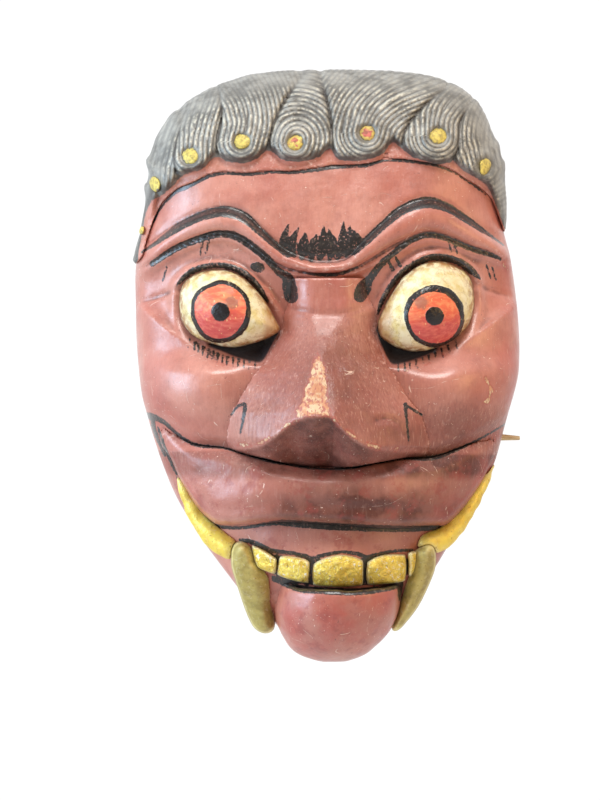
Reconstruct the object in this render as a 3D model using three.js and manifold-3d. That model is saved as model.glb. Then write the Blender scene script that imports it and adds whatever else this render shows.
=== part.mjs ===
// A carved and painted wooden ogre mask, worn on the face.
//
// A hollow face shell carries the carvings glued to its front: a cap of curled hair, a nose, two
// bulging eyes, a heavy upper lip, a row of gilt teeth, two tusks that curve up, two fangs that point
// down, and the chin. Two wooden pegs in the side walls hold the head cord.
//
// Units are millimetres. +Z is up, the face looks along -Y, and +X is the mask's own left side.
// The back rim lies in the plane y = 0, and the origin is the centre of that rim.
// "Depth" means the distance in front of the rim, so a point at depth d has y = -d.

import * as THREE from "three";
import { ConvexGeometry } from "three/addons/geometries/ConvexGeometry.js";
import { mergeVertices } from "three/addons/utils/BufferGeometryUtils.js";
import Module from "manifold-3d";

const wasm = await Module();
wasm.setup();

// ---------------------------------------------------------------------------------------------
// Driving dimensions

const CLEARANCE = 0.3; // gap between pieces that are glued to each other
const WALL = 10; // thickness of the hollowed shell
const CROWN = 64; // depth of the face's dome at its middle, before the relief is added
const FULLNESS = 2.6; // power of the superellipse that the dome follows; 2 would be an ellipse
const SIDE_EDGE = 30; // depth at which the dome meets the side walls
const TOP_EDGE_DROP = 10; // the dome meets the top wall this much further back
const CHIN_EDGE_RISE = 8; // and the chin wall this much further forward
const RIM_TAPER = 0.035; // share by which the side walls draw in towards the rim
const HAIR_THICKNESS = 4.5;
const HAIR_SIDE = { thickness: 1.2, low: 0.45, high: 0.72 }; // it thins out down the sides of the head
const EYE_WOOD = 7.5; // extra wood behind the lower lids

// The face's outline seen from the front, from the top down its left side and up its right side.
const OUTLINE = [
  [0, 105.6], [19, 105.4], [33.5, 104.2], [44.2, 101], [50.6, 97], [54, 92.8], [57, 86], [60.2, 76.5],
  [63.8, 58], [67.4, 41], [70.2, 22], [71.1, 3], [70.6, -4], [69, -11], [64.6, -27], [58.3, -44.6],
  [49.6, -59.5], [40.4, -74.3], [29.5, -89.2], [23.5, -95.6], [16, -101], [8, -104.2], [0, -105.2],
  [-8, -104], [-15, -100], [-22, -94], [-34.2, -81.8], [-45.4, -67], [-54.8, -52], [-62.3, -34.5],
  [-67.2, -18.6], [-70.4, 0], [-71.4, 22], [-71.6, 32], [-70.8, 41], [-68.2, 50], [-63.8, 67],
  [-62.4, 76.5], [-59.8, 83.6], [-56.2, 89.2], [-51.6, 93.4], [-45.2, 97.4], [-38, 100.8], [-26, 104.2],
  [-13, 105.5],
];

// Lines across the front of the face, each from the mask's right (-X) to its left (+X).
const HAIRLINE = [
  [-95, 30], [-72, 36], [-67, 45.6], [-64.2, 53.5], [-58.7, 61.4], [-52.8, 65.2], [-44.3, 69],
  [-21.3, 70.6], [-3.7, 71.6], [16.7, 73.6], [32.3, 74.4], [45.9, 70.8], [54.5, 65.5], [60.8, 59.5],
  [64.4, 51], [72, 40], [95, 34],
];
const CHEEK_LINE = [
  [-82, -10], [-65, -20.5], [-55, -26], [-45, -30.5], [-32, -33], [-20, -36], [-6, -38.5],
  [8, -38.5], [20, -36.5], [34, -34.5], [46, -32.5], [55, -28], [65, -22], [82, -10],
];
const LIP_LINE = [
  [-78, -20], [-62, -32], [-57, -42], [-49, -53.5], [-41, -60], [-28, -59.5], [-10, -58.5],
  [10, -60], [28, -61], [42, -60.5], [50, -54], [58, -43], [63, -34], [78, -20],
];
const BROW_PATH = [
  [0, 33], [8, 34], [16, 39], [24, 46], [31, 51], [39, 53], [47, 51.5], [56, 46.5], [64, 40.5], [70, 36],
];

// Curl centres along the hair's lower edge, and the width of a curl.
const CURLS = [
  [-68.2, 49.5], [-63.4, 66.4], [-51, 76.5], [-31.8, 81.8], [-12.2, 81.4], [14.4, 85], [40.6, 84],
  [58, 72.8],
];
const CURL_RADIUS = 8;
const CURL_LIFT = 1.6;
const BOSS_RADIUS = 2.7;
const BOSS_THICKNESS = 3;

// Teeth along the mouth: middle x and z, width and height.
const TEETH = [
  { x: -23.8, z: -71.8, width: 9, height: 10 },
  { x: -13, z: -75.9, width: 12, height: 10.4 },
  { x: 3.6, z: -76.8, width: 19.4, height: 11.2 },
  { x: 21.1, z: -76, width: 15, height: 10.8 },
  { x: 31, z: -74.2, width: 4.8, height: 7.4 },
];

const PEG = { height: -27, depth: 22, radius: 1.9, tip: 0.7, inner: 49 };
const PEG_REACH_LEFT = 71.5; // the left peg stands out of the side wall
const PEG_REACH_RIGHT = 63.4; // the right peg is cut off flush

// ---------------------------------------------------------------------------------------------
// Solids

// A closed three.js geometry as a manifold-3d solid.
function solidOf(geometry) {
  const bare = geometry.clone();
  bare.deleteAttribute("normal");
  bare.deleteAttribute("uv");
  const merged = mergeVertices(bare, 1e-4);
  return new wasm.Manifold(
    new wasm.Mesh({
      numProp: 3,
      vertProperties: new Float32Array(merged.attributes.position.array),
      triVerts: new Uint32Array(merged.index.array),
    }),
  );
}

// A manifold-3d solid as a flat-shaded three.js geometry.
function geometryOf(solid) {
  const mesh = solid.getMesh();
  const geometry = new THREE.BufferGeometry();
  geometry.setAttribute("position", new THREE.BufferAttribute(mesh.vertProperties, 3));
  geometry.setIndex(new THREE.BufferAttribute(mesh.triVerts, 1));
  const faceted = geometry.toNonIndexed();
  faceted.computeVertexNormals();
  return faceted;
}

// A closed surface made of rings of equally many points, with a middle point closing each end.
function ringSolid(first, rings, last) {
  const sides = rings[0].length;
  const points = [first, ...rings.flat(), last];
  const index = [];
  const at = (ring, side) => 1 + ring * sides + (side % sides);
  const span = (a, b) => Math.hypot(...points[a].map((value, i) => value - points[b][i]));
  for (let side = 0; side < sides; side++) {
    index.push(0, at(0, side), at(0, side + 1));
    index.push(points.length - 1, at(rings.length - 1, side + 1), at(rings.length - 1, side));
    for (let ring = 0; ring + 1 < rings.length; ring++) {
      const [a, b] = [at(ring, side), at(ring + 1, side)];
      const [c, d] = [at(ring + 1, side + 1), at(ring, side + 1)];
      if (span(a, c) < span(b, d)) {
        index.push(a, b, c, a, c, d);
      } else {
        index.push(a, b, d, b, c, d);
      }
    }
  }
  const geometry = new THREE.BufferGeometry();
  geometry.setAttribute("position", new THREE.Float32BufferAttribute(points.flat(), 3));
  geometry.setIndex(index);
  return solidOf(geometry);
}

// A superellipsoid with the given half sizes: power 2 is an ellipsoid, and more is boxier.
function superellipsoid(halfX, halfY, halfZ, power = 2, columns = 16, rows = 10) {
  const geometry = new THREE.SphereGeometry(1, columns, rows);
  const position = geometry.attributes.position;
  for (let i = 0; i < position.count; i++) {
    const [a, b, c] = [position.getX(i), position.getY(i), position.getZ(i)];
    const sum = Math.abs(a) ** power + Math.abs(b) ** power + Math.abs(c) ** power;
    const reach = sum ** (-1 / power);
    position.setXYZ(i, a * reach * halfX, b * reach * halfY, c * reach * halfZ);
  }
  return geometry;
}

// A tapering horn along a path, with a radius for each point of the path.
function horn(path, radii, extra = 0, sides = 10, steps = 9) {
  const curve = new THREE.CatmullRomCurve3(path.map((p) => new THREE.Vector3(...p)));
  const radiusCurve = new THREE.SplineCurve(radii.map((r, i) => new THREE.Vector2(i, r)));
  const front = new THREE.Vector3(0, -1, 0);
  const rings = [];
  for (let step = 0; step <= steps; step++) {
    const t = step / steps;
    const centre = curve.getPoint(t);
    const tangent = curve.getTangent(t);
    const side = new THREE.Vector3().crossVectors(front, tangent).normalize();
    const out = new THREE.Vector3().crossVectors(tangent, side);
    const radius = radiusCurve.getPoint(t).y + extra;
    const ring = [];
    for (let i = 0; i < sides; i++) {
      const angle = (-2 * Math.PI * i) / sides;
      ring.push(
        centre
          .clone()
          .addScaledVector(side, Math.cos(angle) * radius)
          .addScaledVector(out, Math.sin(angle) * radius)
          .toArray(),
      );
    }
    rings.push(ring);
  }
  return ringSolid(curve.getPoint(0).toArray(), rings, curve.getPoint(1).toArray());
}

// A prism along Y over an outline of [x, z] points, reaching from behind the rim to in front of the nose.
function prism(outline) {
  const depth = 130;
  const shape = new THREE.Shape(outline.map(([x, z]) => new THREE.Vector2(x, z)));
  const geometry = new THREE.ExtrudeGeometry(shape, { depth, bevelEnabled: false, steps: 1 });
  geometry.rotateX(Math.PI / 2);
  geometry.translate(0, 15, 0);
  return solidOf(geometry);
}

// A smooth line through [x, z] points, moved up by `raise`.
function smoothLine(points, raise = 0, count = 48) {
  const curve = new THREE.SplineCurve(points.map(([x, z]) => new THREE.Vector2(x, z + raise)));
  return curve.getPoints(count).map((p) => [p.x, p.y]);
}

// The zone above a line, or below it, as a prism.
function zoneAbove(line) {
  return prism([...line, [100, 150], [-100, 150]]);
}
function zoneBelow(line) {
  return prism([...[...line].reverse(), [-100, -150], [100, -150]]);
}

// A solid whose front follows depthAt(x, z) over a rectangle, and whose back is flat.
function frontedBlock([left, right], [bottom, top], step, backDepth, depthAt) {
  const columns = Math.ceil((right - left) / step);
  const rows = Math.ceil((top - bottom) / step);
  const geometry = new THREE.BoxGeometry(right - left, 1, top - bottom, columns, 1, rows);
  geometry.translate((left + right) / 2, 0, (top + bottom) / 2);
  const position = geometry.attributes.position;
  for (let i = 0; i < position.count; i++) {
    const inFront = position.getY(i) < 0;
    const depth = inFront ? Math.max(backDepth + 1, depthAt(position.getX(i), position.getZ(i))) : backDepth;
    position.setY(i, -depth);
  }
  return solidOf(geometry);
}

// ---------------------------------------------------------------------------------------------
// The face's dome

// Radius of the face's outline in each direction, from a closed curve through its points.
const outlineTable = (() => {
  const curve = new THREE.CatmullRomCurve3(OUTLINE.map(([x, z]) => new THREE.Vector3(x, 0, z)), true);
  return curve
    .getPoints(360)
    .slice(1)
    .map((p) => ({ angle: Math.atan2(p.z, p.x), radius: Math.hypot(p.x, p.z) }))
    .sort((a, b) => a.angle - b.angle);
})();

function outlineRadius(angle) {
  const after = outlineTable.findIndex((entry) => entry.angle > angle);
  const high = outlineTable[after < 0 ? 0 : after];
  const low = outlineTable[after <= 0 ? outlineTable.length - 1 : after - 1];
  const turn = 2 * Math.PI;
  const span = (high.angle - low.angle + turn) % turn;
  const share = ((angle - low.angle + turn) % turn) / span;
  return low.radius + (high.radius - low.radius) * share;
}

// Depth at which the dome ends and the wall begins.
function edgeDepth(angle) {
  const up = Math.max(0, Math.sin(angle));
  const down = Math.max(0, -Math.sin(angle));
  return SIDE_EDGE - TOP_EDGE_DROP * up * up + CHIN_EDGE_RISE * down * down;
}

// Depth of the plain dome, moved in by `inset`, at a point seen from the front. `spread` is how far
// its outline moves out.
function domeDepth(x, z, inset = 0, spread = () => -inset) {
  const angle = Math.atan2(z, x);
  const share = Math.min(1, Math.hypot(x, z) / (outlineRadius(angle) + spread(angle)));
  const edge = edgeDepth(angle) - inset;
  return edge + (CROWN - inset - edge) * (1 - share ** FULLNESS) ** (1 / FULLNESS);
}

// A round hill of height 1 at [cx, cz] that fades over the distances rx and rz.
const hill = (x, z, cx, cz, rx, rz) => Math.exp(-(((x - cx) / rx) ** 2) - ((z - cz) / rz) ** 2);

function distanceToPath(path, x, z) {
  let nearest = Infinity;
  for (let i = 0; i + 1 < path.length; i++) {
    const [ax, az] = path[i];
    const [bx, bz] = path[i + 1];
    const along = ((x - ax) * (bx - ax) + (z - az) * (bz - az)) / ((bx - ax) ** 2 + (bz - az) ** 2);
    const t = Math.min(1, Math.max(0, along));
    nearest = Math.min(nearest, Math.hypot(x - ax - t * (bx - ax), z - az - t * (bz - az)));
  }
  return nearest;
}

// Carved relief of the shell itself: brow roll, eye sockets, cheeks and the muzzle round the mouth.
function faceRelief(x, z) {
  const side = Math.abs(x);
  const brow = 4.5 * Math.exp(-((distanceToPath(BROW_PATH, side, z) / 4.6) ** 2));
  const socket = -6 * hill(side, z, 37, 20, 21, 17);
  const cheek = 5 * hill(side, z, 47, -8, 17, 15);
  const muzzle = 10 * hill(side, z, 0, -70, 36, 30);
  return brow + socket + cheek + muzzle;
}
const faceDepth = (x, z) => domeDepth(x, z) + faceRelief(x, z);

// How far the hair stands out of the face's outline: fully over the top, and hardly at the sides.
function hairSpread(angle) {
  const { thickness, low, high } = HAIR_SIDE;
  const share = THREE.MathUtils.smoothstep(Math.sin(angle), low, high);
  return thickness + (HAIR_THICKNESS - thickness) * share;
}

// Raised curls along the hair's lower edge.
function hairRelief(x, z) {
  const lifts = CURLS.map(([cx, cz]) => Math.exp(-((Math.hypot(x - cx, z - cz) / CURL_RADIUS) ** 4)));
  return CURL_LIFT * Math.max(...lifts);
}

// The dome moved in by `inset`, carved with `relief`, and filled back to the plane y = back.
const FINE_BLOCK = { back: 0, sectors: 84, domeRings: 17, wallRings: 2 };
function faceBlock({ inset, relief, spread = () => -inset, ...detail }) {
  const { back, sectors, domeRings, wallRings } = { ...FINE_BLOCK, ...detail };
  const pointAt = (angle, share, depth) => {
    const radius = (outlineRadius(angle) + spread(angle)) * share;
    return [Math.cos(angle) * radius, -depth, Math.sin(angle) * radius];
  };
  const ringOf = (make) =>
    Array.from({ length: sectors }, (_, i) => make((2 * Math.PI * i) / sectors - Math.PI));
  const rings = [];
  for (let ring = 1; ring <= domeRings; ring++) {
    const bend = ((ring / domeRings) * Math.PI) / 2;
    const share = Math.sin(bend) ** (2 / FULLNESS);
    const dome = Math.max(0, Math.cos(bend)) ** (2 / FULLNESS);
    rings.push(
      ringOf((angle) => {
        const edge = edgeDepth(angle) - inset;
        const [x, , z] = pointAt(angle, share, 0);
        return [x, -(edge + (CROWN - inset - edge) * dome + relief(x, z)), z];
      }),
    );
  }
  for (let ring = 1; ring <= wallRings; ring++) {
    const fall = ring / wallRings;
    rings.push(
      ringOf((angle) => {
        const edge = edgeDepth(angle) - inset;
        return pointAt(angle, 1 - RIM_TAPER * fall, edge + (-back - edge) * fall);
      }),
    );
  }
  return ringSolid([0, -(CROWN - inset + relief(0, 0)), 0], rings, [0, back, 0]);
}

// ---------------------------------------------------------------------------------------------
// Pieces

const faceFront = faceBlock({ inset: 0, relief: faceRelief });
const glueLine = faceBlock({ inset: -CLEARANCE, relief: faceRelief, back: 1 });
const glued = (solid) => solid.subtract(glueLine);
const mirrored = (points) => points.map(([x, ...rest]) => [-x, ...rest]);

const EYE = { x: 36.3, z: 21.8, depth: 56, halfWidth: 18.6, halfDepth: 15.5, halfHeight: 16, tilt: 0.32 };
const EYE_SLOT = [
  [17.8, 13], [18.4, 9.2], [20, 4.8], [21.6, 1], [24, -1.5], [28.6, -0.8], [34.2, 1.2], [38.6, 3.2],
  [41.4, 5.4], [38, 7.4], [30, 8.6], [23, 11],
];

function eyeball(side, extra = 0) {
  const [halfX, halfY, halfZ] = [EYE.halfWidth, EYE.halfDepth, EYE.halfHeight].map((half) => half + extra);
  const geometry = superellipsoid(halfX, halfY, halfZ, 2, 24, 16);
  geometry.rotateY(-side * EYE.tilt);
  geometry.translate(side * EYE.x, -EYE.depth, EYE.z);
  return solidOf(geometry);
}

// Tusks curve up and out from the corners of the mouth; fangs point down beside the chin.
const onFace = (standOff) => ([x, z]) => [x, -(faceDepth(x, z) + standOff), z];
const TUSKS = {
  left: {
    path: [[36.5, -66.5], [41.5, -64.4], [47.3, -59], [52.4, -51.6], [56.8, -44.4], [60.6, -38.4]],
    radii: [4.2, 4.6, 4, 3.3, 2.5, 0.8],
  },
  right: {
    path: [[-36.5, -68], [-41, -64.6], [-46, -59], [-50.2, -52.6], [-53, -47], [-55.2, -42.6]],
    radii: [4.2, 4.6, 3.9, 3.1, 2.2, 0.8],
  },
};
const FANGS = {
  left: {
    path: [[36, -69], [35, -74], [33.3, -80], [30.2, -89], [26.2, -97]],
    radii: [3.6, 4.4, 4.5, 3.9, 2.2],
  },
  right: {
    path: [[-32.3, -69], [-30.5, -74], [-27.8, -80.5], [-25.8, -89], [-23.8, -96.4]],
    radii: [3.6, 5, 6.4, 5.6, 3.6],
  },
};
const onSide = (pair, side) => (side > 0 ? pair.left : pair.right);

function tusk(side, extra = 0) {
  const { path, radii } = onSide(TUSKS, side);
  return horn(path.map(onFace(0.6)), radii, extra);
}
function fang(side, extra = 0) {
  const { path, radii } = onSide(FANGS, side);
  return horn(path.map(onFace(1)), radii, extra);
}

function cordPeg(side, reach, extra = 0) {
  const length = reach - PEG.inner;
  const inset = extra > 0 ? 1 : 0;
  const geometry = new THREE.CylinderGeometry(PEG.tip + extra, PEG.radius + extra, length + 2 * inset, 14);
  geometry.rotateZ((-side * Math.PI) / 2);
  geometry.translate(side * (PEG.inner + length / 2), -PEG.depth, PEG.height);
  return solidOf(geometry);
}

// Relief of the hollow: deeper behind the muzzle, and shallower behind the eyes' lower lids.
function hollowRelief(x, z) {
  return 7 * hill(x, z, 0, -55, 30, 30) - EYE_WOOD * hill(Math.abs(x), z, 31, 7, 17, 15);
}

function faceShell() {
  const hollow = faceBlock({
    inset: WALL,
    relief: hollowRelief,
    back: 4,
    sectors: 56,
    domeRings: 10,
    wallRings: 1,
  });
  return faceFront
    .subtract(hollow)
    .subtract(prism(EYE_SLOT))
    .subtract(prism(mirrored(EYE_SLOT).reverse()))
    .subtract(cordPeg(1, PEG_REACH_LEFT, CLEARANCE))
    .subtract(cordPeg(-1, PEG_REACH_RIGHT, CLEARANCE));
}

function curlBoss([x, z], extra = 0) {
  const [radius, halfDepth] = [BOSS_RADIUS + extra, BOSS_THICKNESS / 2 + extra];
  const geometry = superellipsoid(radius, halfDepth, radius, 2.4, 12, 8);
  geometry.translate(x, -(domeDepth(x, z, -HAIR_THICKNESS, hairSpread) + CURL_LIFT), z);
  return solidOf(geometry);
}

function hairCap() {
  const scalp = faceBlock({ inset: -HAIR_THICKNESS, relief: hairRelief, spread: hairSpread });
  const cap = glued(scalp.intersect(zoneAbove(smoothLine(HAIRLINE))));
  return CURLS.reduce((hair, curl) => hair.subtract(curlBoss(curl, CLEARANCE)), cap);
}

// The nose is a wide faceted wedge: its flanks meet in a ridge, and a flat facet slopes back under the tip.
const NOSE_CORNERS = [
  [-11, 29, 66], [0, 30, 68.5], [11, 29, 66], // root between the brows
  [-17.5, 9, 61], [-2, 6, 79.5], [17.5, 9, 61], // bridge
  [-32.5, -33, 66], [-4.5, -18.5, 95], [-1.5, -18.5, 95], [35, -33, 66], // wings and tip
  [-22, -38, 75], [-8, -41, 78.5], [11, -41, 78.5], [26, -38, 75], // lower edge
];
function nose() {
  const corners = NOSE_CORNERS.flatMap(([x, z, depth]) => [
    new THREE.Vector3(x, -depth, z),
    new THREE.Vector3(x, -42, z),
  ]);
  const above = zoneAbove(smoothLine(CHEEK_LINE, CLEARANCE));
  return glued(solidOf(new ConvexGeometry(corners)).intersect(above))
    .subtract(eyeball(1, CLEARANCE))
    .subtract(eyeball(-1, CLEARANCE));
}

// The upper lip fills the band between the cheek line and the lip line, fullest in the middle.
function lipDepth(x, z) {
  const along = Math.max(0, 1 - (Math.abs(x) / 60) ** 2.2);
  const across = 1 - ((z + 51) / 30) ** 2;
  return domeDepth(x, z) + 1.8 + 13 * along * across;
}
function upperLip() {
  const slab = frontedBlock([-61, 61], [-66, -14], 3.6, 30, lipDepth);
  return glued(slab.intersect(zoneBelow(smoothLine(CHEEK_LINE))).intersect(zoneAbove(smoothLine(LIP_LINE))))
    .subtract(tusk(1, CLEARANCE))
    .subtract(tusk(-1, CLEARANCE));
}

function tooth({ x, z, width, height }) {
  const geometry = superellipsoid(width / 2, 5, height / 2, 7, 16, 12);
  const turn = Math.atan((faceDepth(x + 2, z) - faceDepth(x - 2, z)) / 4);
  geometry.rotateZ(-turn);
  geometry.translate(x, -(faceDepth(x, z) - 0.5), z);
  return glued(solidOf(geometry)).subtract(fang(1, CLEARANCE)).subtract(fang(-1, CLEARANCE));
}

function chin() {
  const geometry = superellipsoid(23.4, 25.5, 24.2, 2.2, 28, 20);
  geometry.translate(3, -53, -86);
  const top = [[-20.2, -80.6], [-11, -83], [4, -84], [19, -83.2], [29, -82]];
  const below = prism([...top.reverse(), [-20.2, -120], [29, -120]]);
  return glued(solidOf(geometry).intersect(below))
    .subtract(fang(1, CLEARANCE))
    .subtract(fang(-1, CLEARANCE));
}

// ---------------------------------------------------------------------------------------------
// Materials and the scene graph

const paint = (color, roughness) => new THREE.MeshStandardMaterial({ color, roughness, metalness: 0 });
const redPaint = paint(0xa8655f, 0.45);
const blackPaint = paint(0x4c4a47, 0.55);
const eyePaint = paint(0xe8dca8, 0.4);
const bareWood = paint(0xc9ad7a, 0.8);
const goldPaint = new THREE.MeshStandardMaterial({ color: 0xc9ab3c, roughness: 0.4, metalness: 0.5 });

const mask = new THREE.Group();
function addPiece(name, solid, material) {
  const mesh = new THREE.Mesh(geometryOf(solid), material);
  mesh.name = name;
  mask.add(mesh);
}

addPiece("face_shell", faceShell(), redPaint);
addPiece("hair_cap", hairCap(), blackPaint);
CURLS.forEach((curl, i) => addPiece(`curl_boss_${i + 1}`, glued(curlBoss(curl)), goldPaint));
addPiece("nose", nose(), redPaint);
addPiece("upper_lip", upperLip(), redPaint);
addPiece("chin", chin(), redPaint);
TEETH.forEach((each, i) => addPiece(`tooth_${i + 1}`, tooth(each), goldPaint));
for (const [name, side] of [["left", 1], ["right", -1]]) {
  addPiece(`eye_${name}`, glued(eyeball(side)), eyePaint);
  addPiece(`tusk_${name}`, glued(tusk(side)).subtract(fang(side, CLEARANCE)), goldPaint);
  addPiece(`fang_${name}`, glued(fang(side)), goldPaint);
}
addPiece("cord_peg_left", cordPeg(1, PEG_REACH_LEFT), bareWood);
addPiece("cord_peg_right", cordPeg(-1, PEG_REACH_RIGHT), bareWood);

export default mask;
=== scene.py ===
import math

import bpy
import numpy as np
import openvdb as vdb
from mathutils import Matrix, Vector


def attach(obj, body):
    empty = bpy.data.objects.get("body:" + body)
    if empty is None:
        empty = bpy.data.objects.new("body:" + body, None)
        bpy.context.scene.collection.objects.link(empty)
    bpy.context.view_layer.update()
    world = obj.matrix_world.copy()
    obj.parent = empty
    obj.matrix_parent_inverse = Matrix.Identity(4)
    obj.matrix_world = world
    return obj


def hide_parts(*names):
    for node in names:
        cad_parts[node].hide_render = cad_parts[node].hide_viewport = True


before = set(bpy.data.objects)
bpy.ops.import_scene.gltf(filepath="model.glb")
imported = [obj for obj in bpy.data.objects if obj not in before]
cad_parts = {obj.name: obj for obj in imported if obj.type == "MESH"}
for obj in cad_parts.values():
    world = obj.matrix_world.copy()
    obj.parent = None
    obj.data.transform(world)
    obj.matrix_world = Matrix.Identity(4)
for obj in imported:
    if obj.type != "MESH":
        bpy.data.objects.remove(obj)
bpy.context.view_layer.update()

# Carved and painted wooden mask. Each piece is a carved form, given as a field over a grid of
# millimetres: negative in the wood, positive in the air, and about a distance near the surface.
# Positions are (x, d, z), where d is the depth in front of the back rim, so y = -d. The mask's
# left side is at +x, and it is side 1 in the tables; its right side is side -1.

FINE = 1.0  # grid spacing is multiplied by this
MM = 0.001
SIDES = ((1, "left"), (-1, "right"))

CROWN = 64.0  # depth of the dome's top, before the carving
FULLNESS = 2.6  # power of the dome's curve: 2 is an ellipse, and more is fuller
WALL_TAPER = 0.035  # share by which the side walls draw in from the dome to the rim
WALL, EYE_WOOD = 10, 7.5  # thickness of the wood, and what the eyes' surroundings have beyond it
SEAM = 0.12  # a carving that is glued on stands this far off the face
EYE_BACK, EYE_BULGE = 3.2, 12.5  # the eyeball's widest section behind the dome, and its rise from there
EYE_SEAT = 6.0  # the eyeball's reach behind its widest section
SLOT_SLANT = 1.1  # an eye slot rises this much for each millimetre further in
PEG_DEPTH, PEG_LEVEL, PEG_HOLE = 22, -27, 2.1  # middle line of the pegs, and radius of their holes
WALL_PAINT = (27, 21)  # the painted detail fades between these depths, and the walls behind are plain
TEMPLES = [50, 66]  # the hair's lines get steep between these distances from the middle

# The face's outline, clockwise from the top, as (x, z).
OUTLINE = [
    (0, 105.6), (19, 105.4), (33.5, 104.2), (44.2, 101), (50.6, 97), (54, 92.8), (57, 86), (60.2, 76.5),
    (62, 68.5), (63.8, 58), (65.4, 49), (67.4, 41), (69, 32), (70.2, 22), (71, 11), (71.1, 3), (70.6, -4),
    (69, -11), (66.8, -18.5), (64.6, -27), (62, -36), (58.3, -44.6), (54.2, -52), (49.6, -59.5),
    (44.8, -67), (40.4, -74.3), (35.2, -81.8), (29.5, -89.2), (23.5, -95.6), (16, -101), (8, -104.2),
    (0, -105.2), (-8, -104), (-15, -100), (-22, -94), (-29, -88.5), (-34.2, -81.8), (-39.9, -74.3),
    (-45.4, -67), (-50.2, -59.5), (-54.8, -52), (-58.4, -44.6), (-62.3, -34.5), (-65.1, -26),
    (-67.2, -18.6), (-69.1, -11), (-70.4, 0), (-71.2, 11), (-71.4, 22), (-71.6, 32), (-70.8, 41),
    (-68.2, 50), (-65.6, 58), (-63.8, 67), (-62.4, 76.5), (-59.8, 83.6), (-56.2, 89.2), (-51.6, 93.4),
    (-45.2, 97.4), (-38, 100.8), (-26, 104.2), (-13, 105.5),
]
# Lines across the front, from the mask's right to its left, as (x, z).
HAIRLINE = [
    (-95, 30), (-72, 36), (-67, 45.6), (-65.7, 49.5), (-64.2, 53.5), (-61.7, 58), (-58.7, 61.4),
    (-55.7, 63.9), (-52.8, 65.2), (-48.8, 66.9), (-44.3, 69), (-36.9, 70.3), (-29.8, 69.8), (-21.3, 70.6),
    (-12.9, 70.5), (-3.7, 71.6), (1.1, 72.4), (8.9, 72.8), (16.7, 73.6), (20.6, 74.7), (26.1, 74.9),
    (32.3, 74.4), (40.1, 73), (45.9, 70.8), (50.2, 68.2), (54.5, 65.5), (58.3, 62.6), (60.8, 59.5),
    (62.6, 55.5), (64.4, 51), (66.4, 46.5), (72, 40), (95, 34),
]
HAIR_EDGE = [
    (-95, 30), (-73, 36), (-70.2, 42), (-68.9, 49), (-67.8, 55), (-66.2, 59), (-64.4, 60.8), (-61.8, 62.2),
    (-58.8, 64.4), (-56, 67.2), (-54.2, 69.2), (-51.5, 70.4), (-48.3, 71.3), (-45.6, 72.6), (-43, 75.8),
    (-40.4, 76.2), (-37, 74.6), (-31.4, 74), (-26.6, 75.4), (-23, 78.4), (-20.4, 78), (-17.1, 75.4),
    (-12.2, 74.4), (-7.4, 74.9), (-3.2, 76.4), (0.2, 79.4), (1.8, 78), (3.6, 75.4), (9, 74.6), (16.5, 75.8),
    (20.6, 78), (23.6, 81.6), (26.6, 79.8), (30.6, 76.6), (35.4, 74.8), (40.2, 73.6), (44.4, 74.2),
    (46.6, 75), (48.4, 72.8), (51.8, 70.2), (56.6, 67.6), (59.4, 65), (61, 61.4), (63, 56.4), (64.8, 52),
    (67, 47.2), (72, 41), (95, 34),
]
UPPER_BROW = [
    (-76, 36), (-68.2, 42), (-55.8, 50.4), (-44.4, 55.2), (-38, 56), (-31, 53.8), (-24.8, 48.2),
    (-17.6, 41.8), (-8, 37.4), (0, 36.6), (7, 38), (12, 42.6), (20.5, 50.4), (27.6, 56), (36, 58.8),
    (43.1, 57.4), (51.6, 52.2), (57.2, 48.4), (64, 44), (76, 36),
]
LOWER_BROW = [
    (-76, 30), (-65, 36.6), (-55.7, 42.4), (-44.4, 46.6), (-37.4, 47), (-31, 44.6), (-23.3, 38.6),
    (-16, 34.6), (-8, 32.9), (0, 32.5), (8, 33.6), (14.6, 36.6), (20.5, 40), (29, 44.2), (36, 46.8),
    (43.1, 45.8), (53, 42), (61.5, 39.6), (76, 32),
]
LOWER_LID = [
    (-74, 25), (-62, 15), (-52, 7.5), (-42, 4), (-33, 0.6), (-25, -0.8), (-17, 1), (-13.5, 10), (0, 18),
    (13.5, 10), (17, 1), (24, -1.6), (33, 0.6), (42, 4.4), (52, 9), (62, 16), (74, 25),
]
SMILE = [
    (-82, -12), (-65.8, -19.7), (-60.7, -21.5), (-55.1, -26.2), (-48.6, -29.8), (-38.5, -31), (-32, -33),
    (-21.8, -35.6), (-8.9, -38), (6.8, -38.4), (18.8, -36.5), (28, -35), (37.3, -34.6), (45.7, -32.2),
    (55.8, -27.6), (64.6, -22.9), (82, -12),
]
LIP = [
    (-78, -18), (-60, -34), (-54.7, -43.5), (-48.6, -53.2), (-44.2, -57.6), (-39.8, -59.8), (-29.4, -59.6),
    (-17.1, -58.5), (-1.3, -59.3), (21.6, -60.8), (39, -60.2), (43.5, -59.8), (48.7, -55.4), (56.6, -45.8),
    (61.9, -36), (78, -18),
]


# --- Lines and distances on the front view -----------------------------------------------------

def smooth(points, steps=6, closed=False):
    """A smooth curve through rows of numbers."""
    p = np.asarray(points, float)
    if closed:
        p = np.vstack([p[-1], p, p[0], p[1]])
    else:
        p = np.vstack([2 * p[0] - p[1], p, 2 * p[-1] - p[-2]])
    t = np.linspace(0, 1, steps, endpoint=False)[:, None]
    parts = [
        0.5 * (2 * b + (c - a) * t + (2 * a - 5 * b + 4 * c - d) * t**2 + (3 * b - a - 3 * c + d) * t**3)
        for a, b, c, d in zip(p, p[1:], p[2:], p[3:])
    ]
    out = np.vstack(parts)
    return out if closed else np.vstack([out, p[-2]])


def line_at(points, x):
    """Height of a line across the face at each x."""
    curve = smooth(points)
    return np.interp(x, curve[:, 0], curve[:, 1])


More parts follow.
